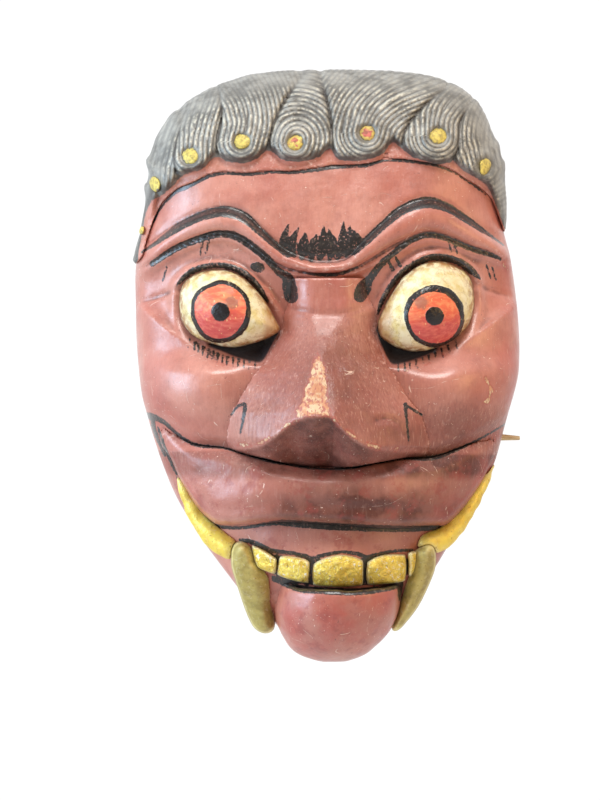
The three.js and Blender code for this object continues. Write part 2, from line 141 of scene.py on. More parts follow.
def nearest(start, end, x, z):
    """How far along a straight line its nearest point to (x, z) lies, as a share, and its distance."""
    dx, dz = end[0] - start[0], end[1] - start[1]
    t = np.clip(((x - start[0]) * dx + (z - start[1]) * dz) / (dx * dx + dz * dz + 1e-9), 0, 1)
    return t, np.hypot(x - start[0] - t * dx, z - start[1] - t * dz)


def stroke(points, x, z, reach=4.0):
    """Distance outside a brush stroke through rows of (x, z, half width), up to `reach`."""
    line = smooth(points)
    out = np.full(np.shape(x), reach, np.float32)
    low, high = line[:, :2].min(0) - reach - 3, line[:, :2].max(0) + reach + 3
    near = (x > low[0]) & (x < high[0]) & (z > low[1]) & (z < high[1])
    px, pz = x[near], z[near]
    best = np.full(px.shape, reach)
    for start, end in zip(line, line[1:]):
        t, away = nearest(start, end, px, pz)
        best = np.minimum(best, away - start[2] - t * (end[2] - start[2]))
    out[near] = best
    return out


def strokes(many, x, z):
    return np.minimum.reduce([stroke(points, x, z) for points in many])


def crease(points, width, x, z):
    """1 on a line through (x, z) points, fading to 0 over about `width`."""
    return bell(stroke([(*point, 0) for point in points], x, z), 0, width)


def polygon(points, x, z):
    """Distance outside a closed outline, negative inside."""
    p = np.asarray(points, float)
    best = np.full(np.shape(x), 1e9)
    inside = np.zeros(np.shape(x), bool)
    for start, end in zip(p, np.roll(p, -1, 0)):
        best = np.minimum(best, nearest(start, end, x, z)[1])
        crosses = (start[1] > z) != (end[1] > z)
        slope = (end[0] - start[0]) / (end[1] - start[1] or 1e-9)
        inside ^= crosses & (x < start[0] + (z - start[1]) * slope)
    return np.where(inside, -best, best)


def ramp(a, b, value):
    """Smooth step from 0 at a to 1 at b."""
    t = np.clip((value - a) / (b - a), 0, 1)
    return t * t * (3 - 2 * t)


def bell(value, middle, width):
    return np.exp(-(((value - middle) / width) ** 2))


def hill(x, z, cx, cz, rx, rz):
    return np.exp(-(((x - cx) / rx) ** 2) - ((z - cz) / rz) ** 2)


def noise(x, z, size, seed):
    """Smooth random hills between -1 and 1, about `size` apart."""
    table = np.random.default_rng(seed).uniform(-1, 1, (64, 64))
    u, v = np.asarray(x) / size + 31.7, np.asarray(z) / size + 17.3
    i, j = np.floor(u).astype(int), np.floor(v).astype(int)
    s, t = ramp(0, 1, u - i), ramp(0, 1, v - j)
    at = lambda a, b: table[a % 64, b % 64]
    low = at(i, j) * (1 - s) + at(i + 1, j) * s
    high = at(i, j + 1) * (1 - s) + at(i + 1, j + 1) * s
    return low * (1 - t) + high * t


# --- Grids and meshes --------------------------------------------------------------------------

class Grid:
    """A block of space between two corners (x, d, z), in steps of a fraction of a millimetre."""

    def __init__(self, low, high, step):
        self.step = step * FINE
        self.low = np.array(low, float)
        axes = [np.arange(a, b + self.step, self.step) for a, b in zip(low, high)]
        self.x = axes[0][:, None, None].astype(np.float32)
        self.d = axes[1][None, :, None].astype(np.float32)
        self.z = axes[2][None, None, :].astype(np.float32)
        self.x2, self.z2 = np.meshgrid(axes[0], axes[2], indexing="ij")
        self.shape = tuple(len(a) for a in axes)

    def flat(self, values):
        """A front-view map as a slab that repeats at every depth."""
        return np.asarray(values, np.float32)[:, None, :]


def even(field, step):
    """The field scaled so that it grows by about one per millimetre."""
    gx, gd, gz = np.gradient(field, step)
    size = np.sqrt(gx * gx + gd * gd + gz * gz)
    return field / np.maximum(size, 0.25)


def blend_max(a, b, k):
    """The larger of two fields, with the crease between them rounded over about k."""
    h = np.clip(0.5 + 0.5 * (a - b) / k, 0, 1)
    return b + (a - b) * h + k * h * (1 - h)


def blurred(field, passes):
    """The field smoothed a little more with each pass."""
    out = field.astype(np.float32)
    for _ in range(passes):
        for axis in range(3):
            a = np.moveaxis(out, axis, 0)
            b = a.copy()
            b[1:-1] = (a[:-2] + 2 * a[1:-1] + a[2:]) / 4
            out = np.moveaxis(b, 0, axis)
    return out


def sampled(field, at):
    """Values of a grid's field at fractional index positions."""
    i = np.clip(np.floor(at).astype(int), 0, np.array(field.shape) - 2)
    f = at - i
    out = np.zeros(len(at))
    for corner in range(8):
        o = np.array([corner >> 2 & 1, corner >> 1 & 1, corner & 1])
        w = np.prod(np.where(o, f, 1 - f), axis=1)
        j = i + o
        out += w * field[j[:, 0], j[:, 1], j[:, 2]]
    return out


def largest_part(points, quads):
    """Keeps the one body with the most faces."""
    label = np.arange(len(points))
    a = quads.ravel()
    b = np.roll(quads, -1, 1).ravel()
    while True:
        least = np.minimum(label[a], label[b])
        new = label.copy()
        np.minimum.at(new, a, least)
        np.minimum.at(new, b, least)
        new = new[new]
        new = new[new]
        if (new == label).all():
            break
        label = new
    kept = label[quads[:, 0]] == np.bincount(label[quads[:, 0]]).argmax()
    quads = quads[kept]
    used = np.unique(quads)
    renumber = np.zeros(len(points), int)
    renumber[used] = np.arange(len(used))
    return points[used], renumber[quads]


pieces = {}


def carve(name, grid, field, layers=None, bend=4):
    """Makes the mesh where the field is zero, with `layers` of values for the paint on its points."""
    field = np.clip(np.broadcast_to(field, grid.shape), -4, 4).astype(np.float32)
    field[[0, -1]] = field[:, [0, -1]] = field[:, :, [0, -1]] = 4
    volume = vdb.FloatGrid(4.0)
    volume.copyFromArray(np.ascontiguousarray(field))
    points, quads = volume.convertToQuads(0.0)
    points, quads = largest_part(points.astype(float), quads.astype(int))
    curve = sampled(blurred(field, bend), points)
    place = grid.low + points * grid.step
    a, b, c = (place[quads[:, i]] for i in range(3))
    if np.einsum("ij,ij->i", a, np.cross(b, c)).sum() > 0:  # the depth axis runs along -Y
        quads = quads[:, ::-1]
    co = np.stack([place[:, 0], -place[:, 1], place[:, 2]], 1) * MM
    mesh = bpy.data.meshes.new(name)
    mesh.vertices.add(len(co))
    mesh.vertices.foreach_set("co", co.ravel())
    mesh.loops.add(quads.size)
    mesh.loops.foreach_set("vertex_index", quads.ravel())
    mesh.polygons.add(len(quads))
    mesh.polygons.foreach_set("loop_start", np.arange(0, quads.size, 4))
    mesh.update(calc_edges=True)
    mesh.validate()
    mesh.shade_smooth()
    values = {"convex": curve / grid.step}
    if layers:
        values.update(layers(place[:, 0], place[:, 1], place[:, 2]))
    for key, value in values.items():
        layer = mesh.attributes.new(key, "FLOAT", "POINT")
        layer.data.foreach_set("value", np.asarray(value, np.float32))
    piece = bpy.data.objects.new(name, mesh)
    bpy.context.scene.collection.objects.link(piece)
    pieces[name] = piece


# --- The face ----------------------------------------------------------------------------------

class Outline:
    """A closed outline round a middle point, as a radius for each direction."""

    def __init__(self, middle, points, steps=8):
        self.middle = middle
        line = smooth(points, steps, closed=True)
        x, z = line[:, 0] - middle[0], line[:, 1] - middle[1]
        order = np.argsort(np.arctan2(z, x))
        self.angle, self.reach = np.arctan2(z, x)[order], np.hypot(x, z)[order]

    def radius(self, x, z):
        angle = np.arctan2(z - self.middle[1], x - self.middle[0])
        return np.interp(angle, self.angle, self.reach, period=2 * math.pi)

    def share(self, x, z, grow=0.0):
        """0 in the middle and 1 on the outline."""
        return np.hypot(x - self.middle[0], z - self.middle[1]) / (self.radius(x, z) + grow)


FACE = Outline((0, 0), OUTLINE)
EYES = {
    1: Outline((37.2, 20.6), [
        (39.8, 37.7), (34.2, 36.5), (28.1, 32.3), (24.7, 28), (21.4, 22.4), (19.2, 17.7), (18.2, 14.4),
        (19.2, 10.2), (23, 7.1), (28, 5), (33.1, 4.5), (37.8, 5), (43.1, 7), (47.6, 9.8), (51, 13.2),
        (53.2, 17.8), (54, 23), (53.4, 29), (51.4, 33), (47.6, 35.7), (43.6, 37.3),
    ]),
    -1: Outline((-38.2, 20.2), [
        (-54.4, 27.4), (-52.3, 30.8), (-48, 33.4), (-41.7, 34.7), (-36.5, 34.1), (-31.9, 32), (-27.8, 28.4),
        (-24.5, 24.8), (-22, 21.2), (-19.8, 17), (-17.7, 12.5), (-21, 10), (-25.7, 8), (-29.8, 6.9),
        (-33.6, 6), (-38, 6.1), (-43.2, 7.3), (-48.4, 9.4), (-52, 12.5), (-54.3, 16.8), (-55, 22),
    ]),
}
IRIS = {1: (39.1, 17.4), -1: (-39.6, 19.1)}


def edge_depth(x, z):
    """Depth at which the dome meets the side wall."""
    rise = np.sin(np.arctan2(z, x))
    return 30 - 10 * np.maximum(0, rise) ** 2 + 8 * np.maximum(0, -rise) ** 2


def dome_depth(x, z, inset=0.0):
    """Depth of the uncarved dome, or of the same dome drawn in by `inset` all round."""
    share = np.minimum(1, FACE.share(x, z, -inset))
    edge = edge_depth(x, z) - inset
    return edge + (CROWN - inset - edge) * (1 - share**FULLNESS) ** (1 / FULLNESS)


def dome(grid, lift=0.0, inset=0.0):
    """Field of the domed block whose front is moved forward by the map `lift`."""
    x, z = grid.x2, grid.z2
    radius = grid.flat(FACE.radius(x, z) - inset)
    share = grid.flat(np.hypot(x, z)) / radius
    edge = grid.flat(edge_depth(x, z) - inset)
    d = grid.d - grid.flat(np.broadcast_to(lift, x.shape))
    rise = np.clip((d - edge) / (CROWN - inset - edge), 0, None)
    cap = (share**FULLNESS + rise**FULLNESS) ** (1 / FULLNESS) - 1
    wall = share - (1 - WALL_TAPER * np.clip((edge - grid.d) / edge, 0, 1.3))
    field = np.where(grid.d < edge, np.maximum(wall, cap), cap)
    return even(field * radius, grid.step)


def eye_field(grid, side):
    """Field of an eyeball: a squat ball behind the dome and a full one in front of it."""
    share = grid.flat(EYES[side].share(grid.x2, grid.z2))
    u = grid.d - grid.flat(dome_depth(grid.x2, grid.z2) - EYE_BACK)
    reach = np.where(u > 0, EYE_BULGE, EYE_SEAT)
    return even((np.sqrt(share**2 + (u / reach) ** 2) - 1) * 15, grid.step)


def face_relief(x, z):
    """Carving of the face itself: brow rolls, eye sockets, lids, cheeks and the muzzle."""
    side = np.abs(x)
    fade = ramp(74, 62, side)
    top, low = line_at(UPPER_BROW, x), line_at(LOWER_BROW, x)
    down = (top - z) / (top - low)
    roll = 3.5 * np.clip(1 - ((down - 0.36) / 0.52) ** 2, 0, 1) ** 0.8
    under = 0.9 * bell(down, 1.14, 0.16) - 1.0 * bell(down, 0.9, 0.13)
    groove = -0.9 * bell(z - top, 1.4, 1.6)
    lid = line_at(LOWER_LID, x)
    share = np.clip((z - lid) / np.maximum(low - lid, 1), 0, 1)
    socket = -5.6 * (4 * share * (1 - share)) ** 0.75 * ramp(2, 24, low - lid)
    rim = np.minimum(EYES[1].share(x, z), EYES[-1].share(x, z))
    lids = (1.0 + 1.9 * ramp(14, 30, z)) * bell(rim, 1.13, 0.11)
    above = z - line_at(SMILE, x)
    cheek = (7.2 * hill(side, z, 48, -10, 19, 16) + 1.5) * ramp(-1.5, 4.5, above) * ramp(8, -4, z)
    muzzle = 10 * hill(side, z, 0, -70, 36, 30)
    corner = -0.9 * crease([(-72, 22), (-62, 25), (-56, 27.5)], 1.2, x, z)
    corner -= 0.9 * crease([(71, 24), (62, 26.5), (55, 29)], 1.2, x, z)
    tool = 0.26 * noise(x, z, 9, 3) + 0.1 * noise(x, z, 3.4, 4)
    relief = (roll + under + groove) * fade + socket + lids + cheek + muzzle + corner + tool
    pocket = 15 * np.maximum(rim - 1, 0) - EYE_BACK
    return -blend_max(-relief, -pocket, 1.3)


def face_depth(x, z):
    """Depth of the carved front."""
    return dome_depth(x, z) + face_relief(x, z)


def front_of(grid):
    """Field of everything behind the carved front."""
    return dome(grid, face_relief(grid.x2, grid.z2))


def on_face(field, grid):
    """The part of a carving that stands in front of the face."""
    return np.maximum(field, SEAM - front_of(grid))


def clear_of(field, grid, other, gap):
    """The carving without what comes within `gap` of either side's eye, tusk or fang."""
    for side, _ in SIDES:
        field = np.maximum(field, gap - other(grid, side))
    return field


SLOTS = {
    1: [(18, 13), (18.5, 9.2), (20.2, 4.8), (22, 0.8), (24, -1.3), (28.6, -0.5), (34.2, 1.4), (38.6, 3.4),
        (40.2, 5), (37, 6.6), (30, 7.2), (23, 10)],
    -1: [(-17.8, 12), (-19.6, 8.4), (-21.8, 4), (-24.4, -0.2), (-27.7, -0.2), (-32.9, 1.1), (-38.1, 3.2),
         (-43.4, 5.6), (-43.8, 7), (-38, 8.2), (-29, 9), (-22, 11.4)],
}


def slot_outside(side, x, d, z):
    """Distance outside an eye slot, which slants up into the hollow below the eyeball."""
    outline = smooth(SLOTS[side], 3, closed=True)
    out = np.full(x.shape, 4.0)
    near = (z > -6) & (z < 32) & (side * x > 12) & (side * x < 50) & (d > 20)
    x, d, z = x[near], d[near], z[near]
    low = z - SLOT_SLANT * np.clip(face_depth(x, z) - d, -1, 20)
    out[near] = polygon(outline, x, low)
    return out


def paint_layers(x, d, z):
    """What the red paint needs to know at each point: distances to ink and bare wood, and tones, some of
    which carry painted shade.
    """
    on_side = ramp(*WALL_PAINT, d)
    return {
        "ink": face_ink(x, z) + 4 * on_side,
        "bare": bare_wood(x, z) + 4 * on_side,
        "brown_and_shade": brown_and_shade(x, z) * (1 - 0.8 * on_side),
        "blush": blush(x, z),
        "raw": 0 * x,
        "slot": 0 * x,
    }


def face_shell():
    grid = Grid((-77, -3, -112), (77, 82, 112), 0.8)
    x2, z2 = grid.x2, grid.z2
    front = front_of(grid)
    gouge = 0.5 * noise(x2, z2, 7, 8) + 0.3 * noise(x2 + z2, z2, 3, 9)
    thicker = EYE_WOOD * hill(np.abs(x2), z2, 31, 7, 17, 15)
    muzzle = 7 * hill(x2, z2, 0, -55, 30, 30)
    hollow = dome(grid, muzzle + gouge - thicker, WALL)
    field = blend_max(front, -hollow, 0.8)
    field = blend_max(field, -grid.d, 0.8)
    for side, _ in SIDES:
        near = slice(*np.searchsorted(x2[:, 0], (side * 31 - 16, side * 31 + 16)))
        x, d, z = np.broadcast_arrays(grid.x[near], grid.d, grid.z)
        field[near] = blend_max(field[near], -slot_outside(side, x, d, z), 0.9)
    from_peg = np.hypot(grid.d - PEG_DEPTH, grid.z - PEG_LEVEL)
    field = np.where(np.abs(grid.x) > 45, np.maximum(field, PEG_HOLE - from_peg), field)

    def layers(x, d, z):
        inside = face_depth(x, z) - d
        hollow = ramp(1.6, 2.8, inside) * ramp(0.93, 0.9, FACE.share(x, z))
        slot = np.minimum(slot_outside(1, x, d, z), slot_outside(-1, x, d, z))
        made = paint_layers(x, d, z)
        made["raw"] = np.maximum(hollow, ramp(0.9, 0.4, d))
        # The slot walls, which the red paint colours near black as painted shade inside the eye slots.
        made["slot"] = ramp(1.2, 0.5, slot) * ramp(0.5, 1.3, inside)
        return made

    carve("face_shell", grid, field, layers)


# --- Paint -------------------------------------------------------------------------------------

TUFT = [
    [(-15.6, 41, 0.5), (-16.4, 45.5, 1.1), (-14.6, 51.4, 0.2)],
    [(-12.6, 39.6, 0.6), (-13.6, 44, 1.3), (-11, 50, 0.2)],
    [(-9.8, 38.6, 0.6), (-9.2, 43, 1.5), (-8.2, 48.6, 0.2)],
    [(-6.4, 38, 0.6), (-5.8, 42.4, 1.5), (-4.2, 47.8, 0.2)],
    [(-3.2, 38.4, 0.6), (-1.6, 43.6, 1.6), (-1.8, 50.6, 0.2)],
    [(0.4, 38.4, 0.6), (1.6, 43.4, 1.5), (0.2, 49.4, 0.2)],
    [(3.4, 38.8, 0.6), (5.2, 44, 1.5), (5.6, 52.2, 0.2)],
    [(6.6, 39.6, 0.6), (8.6, 44.6, 1.4), (7.8, 51, 0.2)],
    [(9.4, 40.6, 0.6), (11.4, 44.6, 1.2), (9.8, 48.8, 0.2)],
]
INK = [
    # brow strokes, thick at the crest
    [(-69, 41.4, 0.4), (-63.7, 44.6, 0.8), (-55.8, 50, 1.5), (-48.8, 53.6, 1.7), (-43.9, 55.2, 1.9),
     (-38, 56, 2.1), (-31, 53.9, 2), (-24.8, 48.3, 1.4), (-19.4, 43.6, 1.3), (-14.6, 40.4, 1.6)],
    [(9.6, 41.6, 1.6), (13.4, 44.6, 1.5), (20.5, 51.2, 1.6), (27.6, 56.8, 1.9), (36, 59.4, 2.2),
     (43.1, 57.9, 1.8), (48, 55.2, 1.5), (55.6, 50.2, 1.1), (59.4, 47.8, 0.6), (65, 44, 0.35)],
    [(-65, 37, 1.1), (-55.7, 42.8, 1.3), (-44.4, 47, 1.4), (-37.4, 47.8, 1.4), (-31.7, 45.7, 1.5),
     (-23.3, 39.4, 1.5), (-18.6, 34.2, 1.4), (-15, 31.6, 2), (-14.2, 28, 2.7), (-13.6, 24.8, 2.6)],
    [(11.6, 24.8, 2.3), (13, 27.6, 2.8), (15.4, 31.4, 1.5), (20.5, 37.6, 1.2), (29, 44.4, 1.1),
     (36, 47.3, 1.1), (43.1, 46.3, 1), (53, 42.4, 1), (61.5, 39.8, 0.8), (64, 38.6, 0.5)],
    [(-9, 33.5, 0.3), (-4, 32.8, 0.6), (1, 32.6, 0.7), (6, 33.6, 0.6), (10.8, 35.6, 0.35)],
    # tick marks above the lids
    [(-46.2, 45.2, 0.5), (-47.4, 39.8, 0.35)], [(-44, 45.4, 0.5), (-45.2, 40.4, 0.35)],
    [(-59.6, 36, 0.4), (-61.2, 30.6, 0.3)], [(44.2, 45.4, 0.35), (45.4, 41.4, 0.4)],
    [(46.2, 45, 0.35), (47.6, 40.8, 0.4)], [(58.6, 36.6, 0.35), (60.2, 31.4, 0.35)],
    [(60.6, 35.8, 0.3), (62.2, 31, 0.3)], [(22.2, 37.6, 0.6), (23.8, 34.6, 0.8)],
    [(25, 39, 0.5), (26.6, 36, 0.7)], [(-27.6, 36, 1.2), (-25.6, 35.4, 1.9), (-24.4, 35.6, 1)],
    # nostril wings
    [(-35.6, -18.9, 0.35), (-33.5, -15.9, 0.5), (-30.6, -15.2, 0.7), (-31.2, -20, 0.6),
     (-32.3, -25.6, 0.3)],
    [(28.3, -15, 0.8), (28.8, -21, 0.5), (29.5, -28.2, 0.3)], [(28.6, -15.4, 0.5), (34.4, -18.9, 0.45)],
    # under the cheeks and nose
    [(-69, -18.4, 0.6), (-65.2, -19.6, 1.3), (-60.7, -21.6, 0.8), (-55.1, -26.4, 0.6), (-48.6, -30, 0.7),
     (-38.5, -31.1, 0.5), (-32, -33.2, 0.25), (-26, -34.6, 0.5), (-21.8, -35.7, 0.7), (-14, -37.4, 0.3),
     (-8.9, -38.1, 0.5), (0, -38.8, 0.3), (6.8, -38.5, 0.5), (18.8, -36.5, 0.3), (28, -35, 0.4),
     (37.3, -34.9, 0.9), (45.7, -32.4, 0.7), (55.8, -27.8, 0.4), (66, -22.2, 0.3)],
    [(-65, -20, 0.9), (-64.2, -25, 0.8), (-60.4, -34, 0.5)],
    [(-63, -23.4, 0.4), (-59.6, -33, 0.6), (-56, -41, 0.4)],
    # edge of the upper lip
    [(-56, -42, 0.2), (-48.6, -53.2, 0.4), (-44.2, -57.6, 0.5), (-39.8, -60.2, 0.6), (-31.2, -60.4, 0.6),
     (-24, -59.2, 0.7), (-18.2, -58.5, 1), (-14, -58.7, 1.3), (-1.1, -59.7, 1.35), (9, -60.2, 1.3),
     (19, -60.6, 1.3), (29, -60.8, 1.2), (39, -60.5, 1), (44, -60.2, 0.8), (48.7, -55.6, 0.6),
     (56.6, -46, 0.5), (61.9, -37.5, 0.3)],
    # above the teeth
    [(-32.5, -64.8, 0.5), (-27.2, -66, 1), (-21.2, -68.7, 0.9), (-13.2, -69.7, 0.7), (-9, -70.6, 0.8),
     (-6.1, -71.9, 1), (-3.6, -71, 0.8), (-1.1, -70.2, 0.7), (4.9, -69.3, 0.6), (10.9, -69.9, 0.7),
     (14, -71.4, 1), (17, -70.6, 0.8), (20, -69.8, 0.7), (25, -68.9, 0.6), (31, -68.7, 0.5)],
    # below the teeth
    [(-19.8, -79.2, 1.2), (-11.1, -82.5, 1.3), (-3.5, -83.3, 1.2), (9, -83.8, 1.2), (19, -82.9, 1.2),
     (26.6, -81.4, 1.2)],
    # dark between and behind the teeth
    [(-24, -71.8, 2.6), (-13, -76, 4.4), (3.6, -76.8, 4.8), (21, -76, 4.6), (29.5, -74.5, 2.8)],
    # seams beside the chin
    [(26.6, -81, 1.2), (26.4, -84, 0.9), (26.2, -87, 0.4)],
    # foot of the hair
    [(-65.7, 49.5, 0.2), (-64, 54, 0.4), (-61.7, 58, 0.45), (-58.7, 61.4, 0.5), (-55.7, 63.8, 0.7),
     (-52.8, 65, 0.8), (-48.8, 66.8, 0.6), (-44.3, 69, 0.7), (-40, 70, 0.6), (-36.9, 70.3, 0.5),
     (-29.8, 69.8, 0.6), (-21.3, 70.6, 0.5), (-12.9, 70.5, 0.6), (-3.7, 71.6, 0.7), (1.1, 72.4, 0.8),
     (8.9, 72.8, 0.6), (14, 73.2, 0.7), (16.7, 73.8, 0.6), (20.6, 75, 0.5), (26.1, 75, 0.6),
     (32.3, 74.4, 0.6), (40.1, 73, 0.5), (45.9, 70.8, 0.35), (50.2, 68.2, 0.3), (54.5, 65.5, 0.4),
     (58.3, 62.6, 0.3)],
    # lids
    [(-56, 28.6, 0.3), (-54, 31, 0.9), (-50.5, 34, 1.1), (-45.8, 35.7, 1.1), (-40.6, 36.3, 1),
     (-35.5, 35.5, 1.1), (-31, 33.4, 1.2), (-27.4, 30.3, 1.1), (-24.8, 27, 1), (-22.2, 22.8, 0.5)],
    [(56, 31.6, 0.5), (52.6, 34.6, 1.4), (47.8, 37.8, 1.4), (40.3, 39.3, 1.3), (34.4, 38, 1.2),
     (27.6, 33.9, 1.1), (23, 28.6, 1), (19.9, 23.2, 0.9), (18.2, 18.4, 0.5)],
]
LASHES = [
    [(x, z + 1.7, 1.2 * w), (x + lean, z - 1.3, 0.3)]
    for x, z, w, lean in [
        (-51, 7.4, 0.3, -0.6), (-49, 6.2, 0.5, -0.5), (-47.6, 5.4, 0.35, -0.6), (-46, 4.4, 0.55, -0.4),
        (-44, 3.6, 0.45, -0.5), (-42.4, 2.8, 0.5, -0.3), (-40.6, 1.9, 0.6, -0.4), (-38.8, 1.4, 0.35, -0.2),
        (-37, 0.8, 0.5, -0.3), (-35, 0.3, 0.4, -0.2), (-33, 0, 0.45, -0.2), (-31, -0.4, 0.3, -0.1),
        (-29, -0.7, 0.35, -0.1), (-26.8, -0.8, 0.3, 0), (25.6, -1.8, 0.3, 0.2), (28, -1.5, 0.4, 0.2),
        (30, -1, 0.3, 0.2), (32.4, -0.4, 0.4, 0.3), (34.8, 0.6, 0.3, 0.3), (37, 1.5, 0.4, 0.4),
        (39.4, 2.6, 0.4, 0.4), (41.8, 3.8, 0.3, 0.5), (44.2, 5, 0.4, 0.5), (47, 6.8, 0.3, 0.6),
    ]
]
NOSE_EDGE = [
    (-44, -31.6), (-37, -31.4), (-31, -31), (-25, -30), (-20.6, -27.4), (-17.4, -25), (-13.2, -21.4),
    (-9.8, -20.1), (-4.7, -18.9), (0.4, -19.3), (2.4, -20.8), (5.5, -24.4), (10.5, -28.4), (15.6, -30.6),
    (22.4, -31.8), (31.7, -32.4), (44, -33),
]
WEDGE = [
    (-3.9, 4), (-5.6, 0.6), (-6.6, -2), (-7.2, -5.7), (-8.8, -9.1), (-9.2, -12), (-9.8, -14.4),
    (-12.2, -17), (-11.6, -20), (-8, -19.8), (-4.7, -18.9), (0.6, -19.6), (1.2, -18.2), (-0.2, -14),
    (-0.4, -7.4), (-1.2, -1.5), (-2.8, 2.2),
]


def face_ink(x, z):
    tuft = [[(px, pz, 1.35 * radius) for px, pz, radius in hair] for hair in TUFT]
    return strokes(INK + tuft + LASHES, x, z)


def bare_wood(x, z):
    """Distance outside the places where the paint has worn through to the wood."""
    wedge = polygon(WEDGE, x, z)
    chips = strokes([
        [(-33.6, -30.4, 0.3), (-31, -30, 0.8), (-28.6, -29.8, 0.3)],
        [(-26.8, -30, 0.2), (-24, -28.6, 0.9), (-21.4, -27, 0.3)],
        [(-17, -24, 0.3), (-14, -21.8, 0.8), (-11, -20, 0.5)],
        [(0.6, -19.4, 0.6), (2, -20.6, 0.8), (4, -22.8, 0.4)],
        [(6.6, -24.6, 0.4), (8.6, -26, 0.8), (10.4, -27.4, 0.3)],
        [(13.6, -29.4, 0.4), (17.4, -30.6, 0.8), (20, -31.2, 0.3)],
        [(22.6, -31.4, 0.4), (25, -31.2, 0.6)],
    ], x, z) + 0.5 * noise(x, z, 1.6, 5)
    worn = strokes([
        [(58.4, -5, 0.6), (60, -10, 1), (58, -15, 0.7)], [(64.6, 37.4, 0.7), (66.4, 34, 0.6)],
        [(-20.4, -84, 0.2), (-20.2, -92, 0.5), (-20, -96, 0.3)], [(44, 74.4, 0.6), (46, 73.6, 0.8)],
        [(-54.8, 67.6, 0.5), (-54, 66.4, 0.7)],
        [(-47, 3.4, 0.1), (-38, -0.2, 0.5), (-30, -2.2, 0.5), (-24, -2.6, 0.3)],
        [(24, -3.2, 0.3), (34, -1.2, 0.5), (43, 3, 0.3)],
    ], x, z)
    return np.minimum(np.minimum(wedge, chips), worn + 1.2 * noise(x, z, 2.2, 6) + 0.5) + 0.35


def brown_and_shade(x, z):
    """Browner, darker paint on the nose and lip, mixed with painted shade: darkest under the nose, and
    shaded on the lower lip and gum, beside the nose's wings, on the lower cheeks and towards the bottom of
    the mask's left side; a little darker on the chin.
    """
    nose = 0.8 * hill(x, z, 2, -6, 26, 26)
    lip = 0.35 * hill(x, z, 6, -46, 34, 11) + 1.3 * hill(x, z, 8, -54, 32, 7)
    lip += 0.3 * hill(x, z, 0, -65, 26, 4) + 0.55 * ramp(15, 50, x) * ramp(0, -40, z)
    under = 0.65 * ramp(0.3, -1.6, z - line_at(NOSE_EDGE, x)) * ramp(-44, -39, z)
    cheeks = 0.5 * hill(x, z, 52, -22, 14, 8) + 0.4 * hill(x, z, -28, -20, 10, 12)
    cheeks += 0.5 * hill(x, z, 26, -26, 12, 6)
    return np.clip(nose + lip + under + cheeks + 0.3 * hill(x, z, 4, -98, 24, 12), 0, 1.3)


def blush(x, z):
    """Redder, more worn paint towards the edges and on the chin."""
    edge = ramp(0.78, 1.0, FACE.share(x, z)) * ramp(75, 40, z)
    return np.clip(0.8 * edge + 0.8 * hill(x, z, 4, -96, 24, 12) + 0.8 * hill(x, z, 2, 26, 8, 6), 0, 1)


# --- Carvings glued to the face ----------------------------------------------------------------

def nose_flanks(x, z):
    """Depth of the nose's two flanks and of its ridge."""
    ridge = np.interp(z, [-40, -19, -8, 3, 10, 17, 24, 33], [108, 95, 87.5, 79.5, 73.4, 68.6, 67.4, 67])
    middle = np.interp(z, [-40, -19, 3, 20, 33], [-4, -4.4, -4, -0.6, 0])
    levels = [-40, -28, -18, -11, -3, 4, 10, 18, 25, 33]
    left = np.interp(z, levels, [39, 38, 34.5, 29, 25, 20.6, 18.8, 18.6, 15, 14])
    right = np.interp(z, levels, [39, 38, 36, 32.5, 27.4, 22.2, 18.8, 16.8, 14.5, 14])
    edge = np.where(x > middle, left, -right)
    out = np.abs(x - middle) / np.abs(edge - middle)
    foot = np.minimum(face_depth(edge, z), ridge - 2) - 0.4
    power = np.interp(z, [-40, -19, 3, 10, 17, 22, 33], [1.1, 1.1, 1.35, 1.9, 2.6, 3.2, 3.4])
    return ridge - (ridge - foot) * np.sqrt(out**2 + 0.0012) ** power, ridge


def nose():
    grid = Grid((-41, 44, -42), (42, 100, 36), 0.6)
    x, z = grid.x2, grid.z2
    wings = 2.4 * hill(x, z, 27, -25, 8, 7) + 2.0 * hill(x, z, -29, -24, 8, 8)
    flank, ridge = nose_flanks(x, z)
    groove = -0.5 * crease([(7, -2), (11, -10), (15.4, -19.4)], 1.6, x, z)
    groove += 0.9 * crease([(18, -20.6), (22, -20.2), (26, -22.4), (27.6, -26)], 1.3, x, z)
    chisel = 0.16 * noise(x * 1.6 + z * 0.3 * np.sign(x + 4), z * 0.25, 1.1, 25) * ramp(8, -2, z)
    flank += wings - groove + 0.2 * noise(x, z, 6, 21) + 0.12 * noise(x, z, 2.4, 22) + chisel
    flank -= 0.6 * bell(z - 0.012 * x * x, 18.4, 1.3) * ramp(17, 13, np.abs(x))
    chip = ridge - ramp(5, -17, z) * (3.0 + 0.5 * noise(x, z, 3.2, 23) + 0.12 * (x + 5)) - 0.3
    top = -blend_max(-flank, -chip, 0.4)
    edge = line_at(NOSE_EDGE, x)
    below = np.maximum(0, edge - z)
    at_edge, _ = nose_flanks(x, edge)
    under = at_edge + wings * 0.5 - 1.3 * below + 0.3 * noise(x, z, 5, 24)
    top = np.where(z < edge + 1.5, -blend_max(-top, -(under + 0.9 * ramp(0.0, 1.5, z - edge)), 0.7), top)
    field = even(grid.d - grid.flat(top), grid.step)
    field = blend_max(field, grid.flat(line_at(SMILE, x) + 0.3 - z), 0.8)
    field = on_face(np.maximum(field, grid.z - 31.5), grid)
    carve("nose", grid, clear_of(field, grid, eye_field, 0.15), paint_layers)


